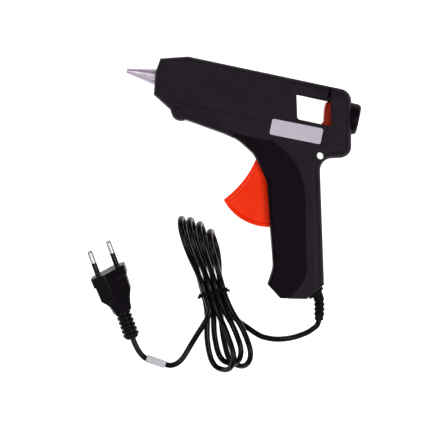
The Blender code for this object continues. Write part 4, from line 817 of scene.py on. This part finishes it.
def well(name, points, side, inner, chamfer):
    """A cutter from a depth out through the casing's flat side, with a broken edge where it comes out."""
    face = MIDDLE + side * MIDDLE
    xs, ys = [x for x, _ in points], [y for _, y in points]
    wide, high = max(xs) - min(xs), max(ys) - min(ys)
    middle = ((max(xs) + min(xs)) / 2, (max(ys) + min(ys)) / 2, face)
    obj = line(name, [(x, y, inner) for x, y in points])
    bpy.ops.mesh.edge_face_add()
    if chamfer:
        flare = chamfer + OVERRUN
        extrude((0, 0, face - side * chamfer - inner))
        extrude((0, 0, side * flare))
        grow((1 + 2 * flare / wide, 1 + 2 * flare / high, 1), middle)
    else:
        extrude((0, 0, face + side * OVERRUN - inner))
    face_outwards()
    return obj


def ring(x, y, radius, steps=48):
    return [(x + a, y + b) for a, b in arc(radius, 0, 2 * math.pi, steps)[:-1]]


def window_corners(more=0.0):
    top = AXIS_HEIGHT + WINDOW_HEIGHT / 2 + more
    low = WINDOW_BOTTOM - more
    return eased(
        (
            (0.0068 - more, top, 0.0004),
            (0.0310 + more, top, 0.0026),
            (0.0353 + more, low, 0.0004),
            (0.0111 - more, low, 0.0022),
        )
    )


def trigger_slot():
    reach = TRIGGER_REACH + 0.0005 + SLACK
    top = 0.0112 + SLACK
    half = 0.0065 + SLACK
    first = math.pi - math.asin(top / reach)
    points = [(0.0052, top), *arc(reach, first, math.radians(288), 48)]
    return drawn("trigger_slot", points, MIDDLE - half, MIDDLE + half)


def corner_cut():
    """The middle of the handle's corner cut, and the way out of it."""
    first, second = Vector(scaled(*OUTLINE[4][:2])), Vector(scaled(*OUTLINE[5][:2]))
    along = (second - first).normalized()
    return Vector((*((first + second) / 2), MIDDLE)), Vector((-along.y, along.x, 0))


def plate_corners(more):
    half_x, half_y = 0.0362 / 2 + more, 0.0112 / 2 + more
    corners = [(x * half_x, y * half_y, 0.0015) for x, y in ((-1, -1), (1, -1), (1, 1), (-1, 1))]
    turn = Matrix.Rotation(math.radians(0.8), 2)
    spots = [turn @ Vector((x, y)) for x, y in eased(corners)]
    return [(0.0122 + spot.x, WINDOW_BOTTOM - 0.00855 + spot.y) for spot in spots]


def bare_half(name, side, casing):
    """The outer face of one half: drawn out from the parting line, its nose pulled in, its edge rounded."""
    corners = [(*scaled(x, y), turn * REAR_ROUND) for x, y, turn, _ in OUTLINE]
    points = rounded(corners, casing.corner_step)
    parting = MIDDLE + side * FIT / 2
    height = MIDDLE - FIT / 2
    obj = drawn(name, [(x, y) for x, y, _ in points], parting, parting + side * height)

    def rise(vert):
        return (vert.co.z - parting) * side

    def corner(vert):
        if rise(vert) < 0.001:
            return None
        x, y, place = min(points, key=lambda spot: (spot[0] - vert.co.x) ** 2 + (spot[1] - vert.co.y) ** 2)
        return place if abs(x - vert.co.x) + abs(y - vert.co.y) < 0.00001 else None

    choose("FACE", lambda face: all(rise(vert) < 0.00001 for vert in face.verts))
    bpy.ops.mesh.delete(type="ONLY_FACE")
    choose("VERT", lambda vert: corner(vert) in (0, NOSE_FIRST))
    bpy.ops.mesh.vert_connect_path()
    choose("EDGE", lambda edge: {corner(vert) for vert in edge.verts} == {0, NOSE_FIRST})
    bpy.ops.mesh.subdivide(number_cuts=3)
    first, last = Vector(corners[0][:2]), Vector(corners[NOSE_FIRST][:2])
    for number, shares in enumerate(NOSE_LINE, 1):
        here = first.lerp(last, number / 4)
        target = Vector(scaled(*shares))
        found = choose("VERT", lambda vert: (vert.co.xy - here).length < 0.00002 and rise(vert) > 0.001)
        if found != 1:
            raise RuntimeError(f"the nose line's point {number} isn't there")
        move((*(target - here), 0))
    choose("VERT", lambda vert: (corner(vert) or 0) > NOSE_FIRST)
    move((0, 0, side * (NOSE_WIDTH / 2 - height)))
    last_corner = len(OUTLINE) - 1
    for weight in sorted({row[3] for row in OUTLINE}):

        def wanted(edge):
            ends = [corner(vert) for vert in edge.verts]
            if None in ends or sorted(ends) == [0, NOSE_FIRST]:
                return False
            first_end = last_corner if sorted(ends) == [0, last_corner] else min(ends)
            return OUTLINE[first_end][3] == weight

        choose("EDGE", wanted)
        bpy.ops.transform.edge_bevelweight(value=weight)
    face_outwards()
    start()
    round_edges = {"limit_method": "WEIGHT", "width": REAR_ROUND, "segments": casing.segments}
    modify(obj, "BEVEL", use_clamp_overlap=False, **round_edges)
    edit(obj)
    bpy.ops.mesh.remove_doubles(threshold=0.00003)
    start()
    return obj


def inset_solid(obj, name, side, depth, past):
    """The solid inside a half's outer face, a depth below it, and past its parting plane."""
    made = twin(obj, name)
    parting = MIDDLE + side * FIT / 2
    edit(made)
    bpy.ops.transform.shrink_fatten(value=-depth)
    choose("VERT", lambda vert: vert.is_boundary)
    grow((1, 1, 0), (0, 0, parting - side * past))
    choose("EDGE", lambda edge: edge.is_boundary)
    bpy.ops.mesh.edge_face_add()
    face_outwards()
    start()
    return made


class GLUEGUN_OT_casing(bpy.types.Operator):
    """Both halves of the casing, with their openings, ribs, grip panels and joint lines"""

    bl_idname = "gluegun.casing"
    bl_label = "Casing"

    def execute(self, context):
        casing = context.scene.glue_gun.casing
        texture = finish_named("casing_texture", textured_plastic, casing.body)
        smooth_finish = finish_named("casing_smooth", smooth_plastic, casing.grip)
        for name, side in (("left", 1), ("right", -1)):
            self.half(name, side, casing, texture, smooth_finish)
        return {"FINISHED"}

    def half(self, name, side, casing, texture, smooth_finish):
        face = MIDDLE + side * MIDDLE
        skin = bare_half(f"casing_{name}", side, casing)
        inside = inset_solid(skin, "inside", side, 0.00105, -0.0001)
        below = inset_solid(skin, "below", side, casing.grip_depth, 0.002)
        parting = MIDDLE + side * FIT / 2
        modify(skin, "SOLIDIFY", thickness=casing.skin, offset=-1, use_even_offset=True)
        edit(skin)
        choose("VERT", lambda vert: (vert.co.z - parting) * side < 0.0008)
        grow((1, 1, 0), (0, 0, parting))
        start()
        skin.data.materials.append(texture)

        panel = drawn("grip_region", GRIP_PANEL, MIDDLE - side * 0.001, face + side * OVERRUN)
        start()
        combine(panel, "DIFFERENCE", below)
        panel.data.materials.append(smooth_finish)
        combine(skin, "DIFFERENCE", panel, material_mode="TRANSFER")
        edit(skin)
        bpy.ops.mesh.remove_doubles(threshold=0.00001)
        bpy.ops.mesh.dissolve_degenerate(threshold=0.00001)
        start()

        def bored(name, first, last, radius):
            return rod(name, AXIS + Vector((first, 0, 0)), AXIS + Vector((last, 0, 0)), radius + SLACK)

        centre, out = corner_cut()
        cutters = [
            well("window", window_corners(SLACK), side, MIDDLE - side * OVERRUN, casing.chamfer),
            well("hanging_hole", ring(0.0322, 0.0212, 0.0026 + SLACK), side, MIDDLE, 0.0005),
            bored("mouth", -0.096, -0.0863, NOZZLE_RADIUS + 0.0004),
            bored("collar_hole", 0.0402, 0.056, COLLAR_RADIUS + FIT),
            rod("relief_hole", centre - out * REAR_ROUND, centre + out * OVERRUN, 0.0032 + FIT + SLACK),
            trigger_slot(),
        ]
        if side > 0:
            cutters += [
                well("plate_seat", plate_corners(FIT + SLACK), 1, PLATE_SEAT, 0.00015),
                well("stand_hole", ring(-0.0722, 0.0329, 0.0009, 24), 1, CASING_WIDTH - 0.0010, 0.00015),
            ]
        else:
            for number, shares in enumerate(SCREWS):
                head = ring(*scaled(*shares), 0.0028 + SLACK)
                cutters.append(well(f"screw_{number}", head, -1, MIDDLE - 0.002, 0.0003))
        deep, level, shallow = face - side * 0.00006, face + side * 0.0001, face + side * 0.0002
        cutters += [
            rod("side_line", (-0.0770, 0.0364, deep), (-0.0180, 0.0364, shallow), casing.groove, 12),
            rod("panel_line", (-0.0118, 0.0600, level), (-0.0080, 0.0400, level), casing.groove * 0.7, 12),
        ]
        if side > 0:
            cutters.append(standing("boss_line", ring(face, 0.0041, 0.00035, 8), -0.0723, 0.0296))
        combine(skin, "DIFFERENCE", *cutters)

        ribs = twin(frame["nodes"][f"{name}_shell"], f"{name}_ribs")
        ribs.data.materials.clear()
        ribs.data.materials.append(texture)
        edit(ribs)
        bpy.ops.mesh.remove_doubles(threshold=0.000001)
        start()
        combine(ribs, "INTERSECT", inside)
        combine(skin, "UNION", ribs)
        if side > 0:
            # The notch's walls take the darker smooth finish: painted shade for the shadow of the step
            notch = well("rail_notch_painted_shade", RAIL_NOTCH, 1, CASING_WIDTH - 0.0018, 0.0005)
            start()
            notch.data.materials.append(smooth_finish)
            combine(skin, "DIFFERENCE", notch, material_mode="TRANSFER")
        finished(skin, "casing", "casing_black", None, f"{name}_shell")


class GLUEGUN_OT_plate(bpy.types.Operator):
    """The bare plate under the window"""

    bl_idname = "gluegun.rating_plate"
    bl_label = "Rating Plate"

    def execute(self, context):
        low = PLATE_SEAT + 0.0001
        obj = drawn("rating_plate_film", plate_corners(0), low, low + 0.0005)
        choose("FACE", lambda face: face.normal.z > 0.9)
        bpy.ops.mesh.bevel(offset=0.00012, segments=2, affect="EDGES")
        start()
        tint = context.scene.glue_gun.casing.plate
        finished(obj, "casing", "plate_grey", finish_named("plate_film", pressed_plate, tint), "rating_plate")
        return {"FINISHED"}


class GLUEGUN_OT_nozzle(bpy.types.Operator):
    """The metal nozzle and the round guide at the back"""

    bl_idname = "gluegun.nozzle"
    bl_label = "Nozzle and Rear Guide"

    def execute(self, context):
        works = context.scene.glue_gun.works
        metal = finish_named("nozzle_turned", turned_metal, "nozzle_turned", works.nozzle)
        face, tip, end = -NOSE_REACH, -NOSE_REACH - 0.0202, -NOSE_REACH + 0.0130
        profile = eased(
            (
                (tip, 0.0008, 0.0002),
                (tip, 0.0016, 0.0006),
                (tip + 0.0014, 0.00185, 0.001),
                (face - 0.0016, 0.0055, 0.004),
                (face + 0.0004, NOZZLE_RADIUS, 0.002),
                (end, NOZZLE_RADIUS, 0.0003),
                (end, 0.0031, 0),
                (face, 0.0024, 0),
                (tip + 0.0034, 0.0008, 0.001),
            ),
            10,
        )
        obj = turned("nozzle_cone", profile, 96)
        finished(obj, "casing", "nozzle_metal", metal, "nozzle", soft=40)

        casing = context.scene.glue_gun.casing
        front, back = COLLAR_END - COLLAR_LENGTH, COLLAR_END
        profile = eased(
            (
                (front, 0.0039, 0),
                (front, 0.0123, 0),
                (front + 0.0020, 0.0123, 0.0003),
                (front + 0.0020, COLLAR_RADIUS, 0.0002),
                (back - 0.0030, COLLAR_RADIUS, 0.0015),
                (back - 0.0012, 0.0105, 0.0010),
                (back, 0.0092, 0.0006),
                (back, 0.0060, 0.0008),
                (back - 0.0030, 0.0039, 0.0006),
            ),
            12,
        )
        collar = turned("rear_guide", profile, 96)
        start()
        groove = turned("guide_groove", ring(front + 0.0098, COLLAR_RADIUS, 0.00025, 8), 96)
        start()
        combine(collar, "DIFFERENCE", groove)
        finish = finish_named("casing_smooth", smooth_plastic, casing.grip)
        finished(collar, "casing", "casing_black", finish, "rear_collar", soft=40)
        return {"FINISHED"}


def finger_curve(inset=0.0, steps=24):
    top, pull = Vector((-0.0113, 0.0094)), Vector((-0.0148, -0.0085))
    tip = Vector(arc(TRIGGER_REACH - inset, TRIGGER_FIRST, TRIGGER_LAST, 1)[0])
    points = []
    for step in range(steps + 1):
        t = step / steps
        point = top * (1 - t) ** 2 + pull * 2 * t * (1 - t) + tip * t * t
        slope = (pull - top) * (1 - t) + (tip - pull) * t
        points.append(tuple(point + Vector((-slope.y, slope.x)).normalized() * inset))
    return points


class GLUEGUN_OT_trigger(bpy.types.Operator):
    """The trigger, with a raised rim round its hollow flat sides"""

    bl_idname = "gluegun.trigger"
    bl_label = "Trigger"

    def execute(self, context):
        works = context.scene.glue_gun.works
        half = 0.0060
        back = ((0.0108, -0.0215), (0.0086, -0.0080))
        bottom = arc(TRIGGER_REACH, TRIGGER_FIRST, TRIGGER_LAST, 36)
        body = drawn("trigger_lever", [*finger_curve(), *bottom[1:], *back], MIDDLE - half, MIDDLE + half)
        start()
        along = DRIVE_PIN.normalized()
        across = Vector((along.y, -along.x))
        end = DRIVE_PIN + along * (PIN_TRAVEL + LEG)
        side = across * LEG
        arm = drawn("arm", [-side, side, end + side, end - side], MIDDLE - 0.0030, MIDDLE + 0.0030)
        start()
        combine(body, "UNION", rod("hub", (0, 0, MIDDLE - half), (0, 0, MIDDLE + half), 0.0052), arm)
        low, high = DRIVE_PIN - along * PIN_TRAVEL, DRIVE_PIN + along * PIN_TRAVEL
        heading = math.atan2(along.y, along.x)
        round_end = [Vector(spot) for spot in arc(0.0016, heading - math.pi / 2, heading + math.pi / 2, 12)]
        slot = [high + spot for spot in round_end] + [low - spot for spot in round_end]
        rim = arc(TRIGGER_REACH - 0.0028, TRIGGER_FIRST, TRIGGER_LAST, 36)
        hollow = [*finger_curve(0.0033)[5:], *rim[1:-1], (0.0128, -0.0304), (0.0106, -0.0078)]
        hollow += [(0, -0.0068), (-0.0064, -0.0012)]
        cutters = [
            drawn("pin_slot", slot, MIDDLE - half - 0.001, MIDDLE + half + 0.001),
            rod("bore", (0, 0, 0), (0, 0, CASING_WIDTH), 0.0018),
        ]
        for number, way in enumerate((1, -1)):
            floor = MIDDLE + way * (half - 0.0010)
            cutter = line(f"hollow_{number}", [(x, y, floor) for x, y in hollow])
            bpy.ops.mesh.edge_face_add()
            for rise, wide, tall in ((0.0008, 1.06, 1.045), (0.0002, 1.055, 1.035), (0.0020, 1, 1)):
                extrude((0, 0, way * rise))
                grow((wide, tall, 1), (-0.0020, -0.0180, 0))
            face_outwards()
            cutters.append(cutter)
        combine(body, "DIFFERENCE", *cutters)
        soften(body, works.edge, 40)
        finish = finish_named("trigger_plastic", moulded_orange, "trigger_plastic", works.trigger)
        finished(body, "trigger", "trigger_orange", finish, "trigger", soft=40)
        return {"FINISHED"}


class GLUEGUN_OT_pusher(bpy.types.Operator):
    """The carriage that grips the glue stick and shows in the window"""

    bl_idname = "gluegun.pusher"
    bl_label = "Carriage"

    def execute(self, context):
        works = context.scene.glue_gun.works
        half, deep = 0.0080, 0.0080
        rise = WINDOW_HEIGHT / 2
        front = 0.0068 + 0.0242 - 0.0036
        outline = (
            (front + 0.15 * deep, AXIS_HEIGHT + 0.86 * rise, 0.0008),
            (front + 0.08 * deep, AXIS_HEIGHT + 0.56 * rise, 0.006),
            (front + 0.14 * deep, AXIS_HEIGHT + 0.05 * rise, 0.006),
            (front + 0.27 * deep, AXIS_HEIGHT - 0.78 * rise, 0.001),
            (front + 0.13 * deep, AXIS_HEIGHT - 0.84 * rise, 0.0003),
            (front + 0.13 * deep, FOOT_TOP - 0.0010, 0),
            (front + deep, FOOT_TOP - 0.0010, 0),
            (front + deep, AXIS_HEIGHT, 0.006),
            (front + 0.85 * deep, AXIS_HEIGHT + 0.86 * rise, 0.0008),
        )
        body = drawn("carriage", eased(outline, 8), MIDDLE - half, MIDDLE + half)
        start()
        left, right = DRIVE_PIN.x - LEG, DRIVE_PIN.x + LEG
        others = [block("foot", (0.0020, FOOT_LOW, MIDDLE - half), (front + deep, FOOT_TOP, MIDDLE + half))]
        for side in (-1, 1):
            low, high = sorted((MIDDLE + side * 0.0034, MIDDLE + side * 0.0064))
            leg = block(f"leg_{side + 1}", (left, DRIVE_PIN.y - LEG, low), (right, FOOT_LOW + 0.001, high))
            others.append(leg)
        combine(body, "UNION", *others)
        bore_front = AXIS + Vector((front - OVERRUN, 0, 0))
        bore_back = AXIS + Vector((front + deep + OVERRUN, 0, 0))
        cutters = [
            rod("bore", bore_front, bore_back, 0.0039),
            rod("pin_hole", (*DRIVE_PIN, MIDDLE - half), (*DRIVE_PIN, MIDDLE + half), 0.0015, 24),
        ]
        high, low = AXIS_HEIGHT + rise, AXIS_HEIGHT - 0.9 * rise
        dip = [(front + x, y) for x, y in ((0.0024, high), (0.0032, low), (0.0100, low), (0.0100, high))]
        for side in (-1, 1):
            level = MIDDLE + side * (half - 0.0012)
            cutters.append(drawn(f"dip_{side + 1}", dip, level, level + side * 0.003))
            choose("VERT", lambda vert: (vert.co.z - level) * side > 0.001)
            move((-0.0018, 0, 0))
            start()
        combine(body, "DIFFERENCE", *cutters)
        soften(body, works.edge, 40)
        # The carriage's darker orange is painted shade: it is the trigger's plastic, shaded inside the casing
        finish = finish_named("carriage_plastic", moulded_orange, "carriage_plastic", works.pusher)
        finished(body, "pusher", "trigger_orange", finish, "pusher", soft=40)
        return {"FINISHED"}


def relief_line(length, count):
    """Points from inside the handle along the strain relief's bend to its end."""
    centre, out = corner_cut()
    root, bend = centre + out * length * 0.13, centre + out * length * 0.31
    end = centre + Vector((0.0068, -0.0190, 0))
    points = []
    for step in range(count + 1):
        t = step / count
        points.append(root * (1 - t) ** 2 + bend * 2 * t * (1 - t) + end * t * t)
    return [centre - out * 0.0040, centre - out * 0.0020, centre, *points]


class GLUEGUN_OT_relief(bpy.types.Operator):
    """The ribbed strain relief, turned straight and then bent to where the lead hangs"""

    bl_idname = "gluegun.strain_relief"
    bl_label = "Strain Relief"

    def execute(self, context):
        lead = context.scene.glue_gun.lead
        path = relief_line(lead.relief_length, 24)
        reach = sum((b - a).length for a, b in zip(path, path[1:]))
        flange, neck, body, end = lead.relief_flange / 2, 0.0032, 0.0037, 0.0031
        zero = 0.0040
        corners = [
            (0, 0, 0),
            (0, flange * 0.8, 0.0002),
            (zero - 0.0023, flange * 0.8, 0.0002),
            (zero - 0.0023, neck, 0),
            (zero + FIT, neck, 0),
            (zero + FIT, flange, 0.0004),
            (zero + 0.0022, flange, 0.0006),
            (zero + 0.0023, body * 1.1, 0.0002),
            (zero + 0.0050, body * 0.97, 0.0006),
        ]
        ribs_from = zero + 0.0056
        pitch = (reach - 0.0020 - ribs_from) / 4
        for rib in range(4):
            at, taper = ribs_from + rib * pitch, 1 - 0.008 * rib
            corners += [
                (at, body * taper, 0.0004),
                (at + pitch * 0.50, body * taper, 0.0004),
                (at + pitch * 0.58, end * taper, 0.0003),
                (at + pitch * 0.92, end * taper, 0.0003),
            ]
        corners += [(reach - 0.0018, end, 0.0002), (reach, end, 0.0005), (reach, 0, 0)]
        obj = turned("strain_relief_ribbed", eased(corners, 25), 40, Vector((0, 0, 0)))
        start()
        slots = []
        for rib in range(2):
            at = ribs_from + pitch * (0.52 + 2 * rib)
            for side in (0.0036, -0.0036):
                slots.append(rod(f"slot_{len(slots)}", (at, -0.0012, side), (at, 0.0012, side), 0.0008, 12))
        combine(obj, "DIFFERENCE", *slots)
        way = wire("relief_way", [path], 0)
        modify(obj, "CURVE", object=way, deform_axis="POS_X")
        bpy.data.objects.remove(way)
        grip = finish_named("relief_rubber", soft_grip, "relief_rubber", lead.cord)
        finished(obj, "casing", "cord_black", grip, "strain_relief", soft=40)
        return {"FINISHED"}


def hank_place(along, across, height):
    """A place in the hank: along it from the tie towards the top folds, across it, and above the floor."""
    x = HANK_CENTRE[0] + along * math.cos(HANK_TURN) + across * math.sin(HANK_TURN)
    y = HANK_CENTRE[1] + along * math.sin(HANK_TURN) - across * math.cos(HANK_TURN)
    return Vector((x, y, height))


class GLUEGUN_OT_tie(bpy.types.Operator):
    """The thin cord tied round the hank, with its knot and twisted ends"""

    bl_idname = "gluegun.hank_tie"
    bl_label = "Hank Tie"

    def execute(self, context):
        lead = context.scene.glue_gun.lead
        thick = lead.tie
        width = 3 * STRAND_PITCH + lead.diameter + lead.stagger + 2 * FIT + thick
        height = STRAND_PITCH + lead.diameter + 2 * FIT + thick
        base = thick / 2 + 0.0001
        corners = ((-1, 0), (1, 0), (1, 1), (-1, 1))
        loop = eased([(x * width / 2, base + y * height, 0.0019) for x, y in corners], 15)
        turns = []
        count = len(loop)
        for step in range(2 * count + 1):
            across, up = loop[step % count]
            turns.append(hank_place((step / count - 1) * thick * 1.15, across, up))
        top = base + height
        knot = []
        for step in range(41):
            t = step / 40
            at = 2 * math.pi * 2.5 * t
            knot.append(
                hank_place(
                    0.0013 * math.cos(at * 2 / 2.5) * (1 - 0.3 * t),
                    -width / 2 - 0.0004 + 0.0013 * math.sin(at),
                    top - 0.0016 + 0.0011 * math.cos(at * 1.3),
                )
            )
        ends = []
        for way in (0, math.pi):
            strand = []
            for step in range(49):
                t = step / 48
                at = way + 2 * math.pi * 3.5 * t
                wide = thick * 0.55
                strand.append(
                    hank_place(
                        wide * math.cos(at) - 0.0015 * t,
                        width * 0.38 + 0.0034 * t,
                        top + 0.0001 - 0.0009 * t + wide * math.sin(at),
                    )
                )
            ends.append(strand)
        curl = [hank_place(0.0008 + 0.0011 * math.sin(a), width * 0.28 + 0.0011 * math.cos(a), top + 0.0006)
                for a in (math.pi * step / 8 for step in range(14))]
        obj = as_mesh(wire("hank_tie_cord", [turns, knot, *ends, curl], thick, 3))
        grip = finish_named("tie_cord", soft_grip, "tie_cord", lead.cord, 0.38)
        finished(obj, "casing", "cord_black", grip, "hank_tie", soft=45)
        return {"FINISHED"}


class GLUEGUN_OT_tag(bpy.types.Operator):
    """The bare white sleeve wrapped round the lead"""

    bl_idname = "gluegun.cord_tag"
    bl_label = "Lead Tag"

    def execute(self, context):
        lead = context.scene.glue_gun.lead
        length, wall = 0.0139, 0.00028
        wrap = []
        steps = 60
        for step in range(steps + 1):
            at = math.radians(-150) + 2 * math.pi * 1.22 * step / steps
            loose = 0.00042 * step / steps
            c, s = math.cos(at), math.sin(at)
            shape = (abs(c) ** 2.6 + abs(s) ** 2.6) ** (-1 / 2.6)
            wrap.append((-length / 2, (0.00245 + loose) * shape * c, (0.00215 + loose) * shape * s))
        obj = line("lead_tag_sleeve", wrap, closed=False)
        for _ in range(8):
            bpy.ops.mesh.extrude_edges_move(TRANSFORM_OT_translate={"value": (length / 8, 0, 0)})
        choose("VERT", lambda vert: abs(abs(vert.co.x) - length / 2) < 0.00001)
        grow((1, 1.03, 1.03))
        face_outwards()
        start()
        modify(obj, "SOLIDIFY", thickness=wall, offset=0, use_even_offset=True)
        turn = Matrix.Rotation(math.radians(-6.6), 4, "Z")
        obj.matrix_world = Matrix.Translation((-0.0502, -0.1440, 0.0032)) @ turn
        finished(obj, "casing", "tag_white", finish_named("tag_film", paper, lead.tag), "cord_tag", soft=40)
        return {"FINISHED"}


def plug_frame(plug):
    """The plug's own frame: its front face at zero, Z back along its tail, X across its width."""
    pitch, heading, roll = math.radians(10.3), math.radians(-58.2), math.radians(42)
    rise = plug.tail_diameter * 0.51 + 0.0001 + math.sin(pitch) * (plug.body + plug.shoulder + plug.tail)
    back = Vector(
        (math.cos(heading) * math.cos(pitch), math.sin(heading) * math.cos(pitch), -math.sin(pitch))
    )
    flat = Vector((math.sin(heading), -math.cos(heading), 0))
    upright = back.cross(flat)
    if upright.z < 0:
        upright = -upright
    across = flat * math.cos(roll) + upright * math.sin(roll)
    turn = Matrix((across, back.cross(across), back)).transposed()
    return Matrix.Translation((-0.0965, -0.0883, rise)) @ turn.to_4x4()


class GLUEGUN_OT_plug(bpy.types.Operator):
    """The two-pin plug, with its stepped body, shoulder and ribbed tail"""

    bl_idname = "gluegun.plug"
    bl_label = "Two-pin Plug"

    def execute(self, context):
        plug = context.scene.glue_gun.plug
        place = plug_frame(plug)
        finish = finish_named("plug_plastic", soft_grip, "plug_plastic", plug.skin, 0.34)
        self.body(plug, place, finish)
        steel = finish_named("steel_bright", bright_steel)
        gloss = finish_named("lead_jacket", jacket, plug.skin)
        sleeve_end = -plug.pin_length * 0.5
        radius, core = plug.pin_diameter / 2, 0.0013
        pin = [
            (-plug.pin_length, 0, 0),
            (-plug.pin_length, radius * 0.72, 0.0006),
            (-plug.pin_length + 0.0015, radius, 0.0012),
            (sleeve_end - FIT, radius, 0.0001),
            (sleeve_end - FIT, core, 0),
            (-FIT, core, 0),
            (-FIT, 0, 0),
        ]
        sleeve = [
            (sleeve_end, core + FIT, 0),
            (sleeve_end, radius * 0.96, 0.0002),
            (-FIT, radius * 0.96, 0),
            (-FIT, core + FIT, 0),
        ]
        for side, shift in (("left", -1), ("right", 1)):
            at = place @ Matrix.Translation((shift * plug.spacing / 2, 0, 0))
            for name, profile, look, slot in (
                ("pin", pin, steel, "steel"),
                ("sleeve", sleeve, gloss, "cord_black"),
            ):
                obj = standing(f"{name}_{side}", eased(profile, 12), 0, 0, 40)
                start()
                obj.matrix_world = at
                finished(obj, "casing", slot, look, f"plug_{name}_{side}", soft=40)
        return {"FINISHED"}

    def body(self, plug, place, finish):
        half, thick, flat = plug.width / 2, plug.thickness / 2, 0.57
        upper = [(half, 0, 0.0010), (half * flat, thick, 0.0022), (-half * flat, thick, 0.0022)]
        outline = eased(upper + [(-x, -y, radius) for x, y, radius in upper], 15)
        body = line("plug_grip", [(x, y, 0) for x, y in outline])
        bpy.ops.mesh.edge_face_add()
        steps = (
            (plug.front, 0.985, 0.985),
            (0.0003, 0.925, 0.96),
            (plug.body - plug.front - 0.0003, 0.955, 1.0),
            (plug.shoulder * 0.25, 0.78, 0.97),
            (plug.shoulder * 0.20, 0.80, 0.98),
            (plug.shoulder * 0.25, 0.84, 0.98),
            (plug.shoulder * 0.30, 0.86, 0.96),
        )
        depth = 0.0
        for rise, wide, deep in steps:
            extrude((0, 0, rise))
            depth += rise
            grow((wide, deep, 1), (0, 0, depth))
        face_outwards()
        start()
        soften(body, 0.00045, 24)
        begin = plug.body + plug.shoulder * 0.55
        tail_start = plug.body + plug.shoulder
        end = tail_start + plug.tail
        pitch = plug.tail / 6
        outer = plug.tail_diameter / 2
        corners = [(begin, 0, 0), (begin, outer * 0.90, 0)]
        for number in range(6):
            at, taper = tail_start + number * pitch, 0.93 + 0.07 * number / 6
            deep = outer - 0.0012
            corners += [
                (at, outer * taper, 0.0005),
                (at + pitch * 0.56, outer * taper, 0.0005),
                (at + pitch * 0.66, deep * taper, 0.0003),
                (at + pitch * 0.90, deep * taper, 0.0003),
            ]
        corners += [(end - 0.0006, outer * 0.94, 0.0004), (end, outer * 0.80, 0.0006), (end, 0, 0)]
        tail = standing("plug_tail", eased(corners, 25), 0, 0, 56)
        start()
        knob = block("knob", (-0.0098, -0.0011, begin - 0.0008), (-0.0040, 0.0011, begin + 0.0008))
        combine(body, "UNION", tail, knob)
        body.matrix_world = place
        finished(body, "casing", "cord_black", finish, "plug_body", soft=34)


class GLUEGUN_OT_inner_finish(bpy.types.Operator):
    """Finishes for the pieces inside the casing, which keep their CAD shapes"""

    bl_idname = "gluegun.inner_finish"
    bl_label = "Inner Finishes"

    def execute(self, context):
        gun = context.scene.glue_gun
        steel = finish_named("steel_bright", bright_steel)
        metal = finish_named("nozzle_turned", turned_metal, "nozzle_turned", gun.works.nozzle)
        fired_white = finish_named("ceramic_fired", fired, "ceramic_fired", (0.70, 0.68, 0.62))
        silicone = finish_named("silicone_red", fired, "silicone_red", (0.50, 0.10, 0.06), 0.45)
        black = finish_named("lead_jacket", jacket, gun.lead.cord)
        blue = finish_named("wire_blue", soft_grip, "wire_blue", (0.04, 0.11, 0.42))
        moulded = finish_named("casing_texture", textured_plastic, gun.casing.body)
        looks = {
            "heating_barrel": metal,
            "front_ring": fired_white,
            "feed_sleeve": silicone,
            "heater_element": fired_white,
            "cord_inner_end": black,
            "cord_clamp_bar": moulded,
            "lead_live": black,
            "lead_neutral": blue,
            "heater_lead_live": blue,
            "heater_lead_neutral": blue,
        }
        for name, node in frame["nodes"].items():
            if node.hide_render:
                continue
            look = looks.get(name, steel)
            node.data.materials.clear()
            node.data.materials.append(look)
        return {"FINISHED"}


class GLUEGUN_PT_panel(bpy.types.Panel):
    """Lists the pieces and their sizes"""

    bl_label = "Hot Glue Gun"
    bl_idname = "GLUEGUN_PT_panel"
    bl_space_type = "VIEW_3D"
    bl_region_type = "UI"
    bl_category = "Glue Gun"

    def draw(self, context):
        layout = self.layout
        gun = context.scene.glue_gun
        for operator in PIECES:
            layout.operator(operator.bl_idname)
        for group in (gun.casing, gun.works, gun.lead, gun.plug, gun.stage):
            box = layout.box()
            for name in group.bl_rna.properties.keys():
                if name not in ("rna_type", "name"):
                    box.prop(group, name)


PIECES = (
    GLUEGUN_OT_stage,
    GLUEGUN_OT_lead,
    GLUEGUN_OT_casing,
    GLUEGUN_OT_plate,
    GLUEGUN_OT_nozzle,
    GLUEGUN_OT_trigger,
    GLUEGUN_OT_pusher,
    GLUEGUN_OT_relief,
    GLUEGUN_OT_tie,
    GLUEGUN_OT_tag,
    GLUEGUN_OT_plug,
    GLUEGUN_OT_inner_finish,
)
GROUPS = (CasingSettings, WorksSettings, LeadSettings, PlugSettings, StageSettings, GunSettings)


def register():
    for each in (*GROUPS, *PIECES, GLUEGUN_PT_panel):
        bpy.utils.register_class(each)
    bpy.types.Scene.glue_gun = PointerProperty(type=GunSettings)


def unregister():
    del bpy.types.Scene.glue_gun
    for each in reversed((*GROUPS, *PIECES, GLUEGUN_PT_panel)):
        bpy.utils.unregister_class(each)


def main():
    register()
    for operator in PIECES:
        family, name = operator.bl_idname.split(".")
        getattr(getattr(bpy.ops, family), name)()
    start()


if __name__ == "__main__":
    main()
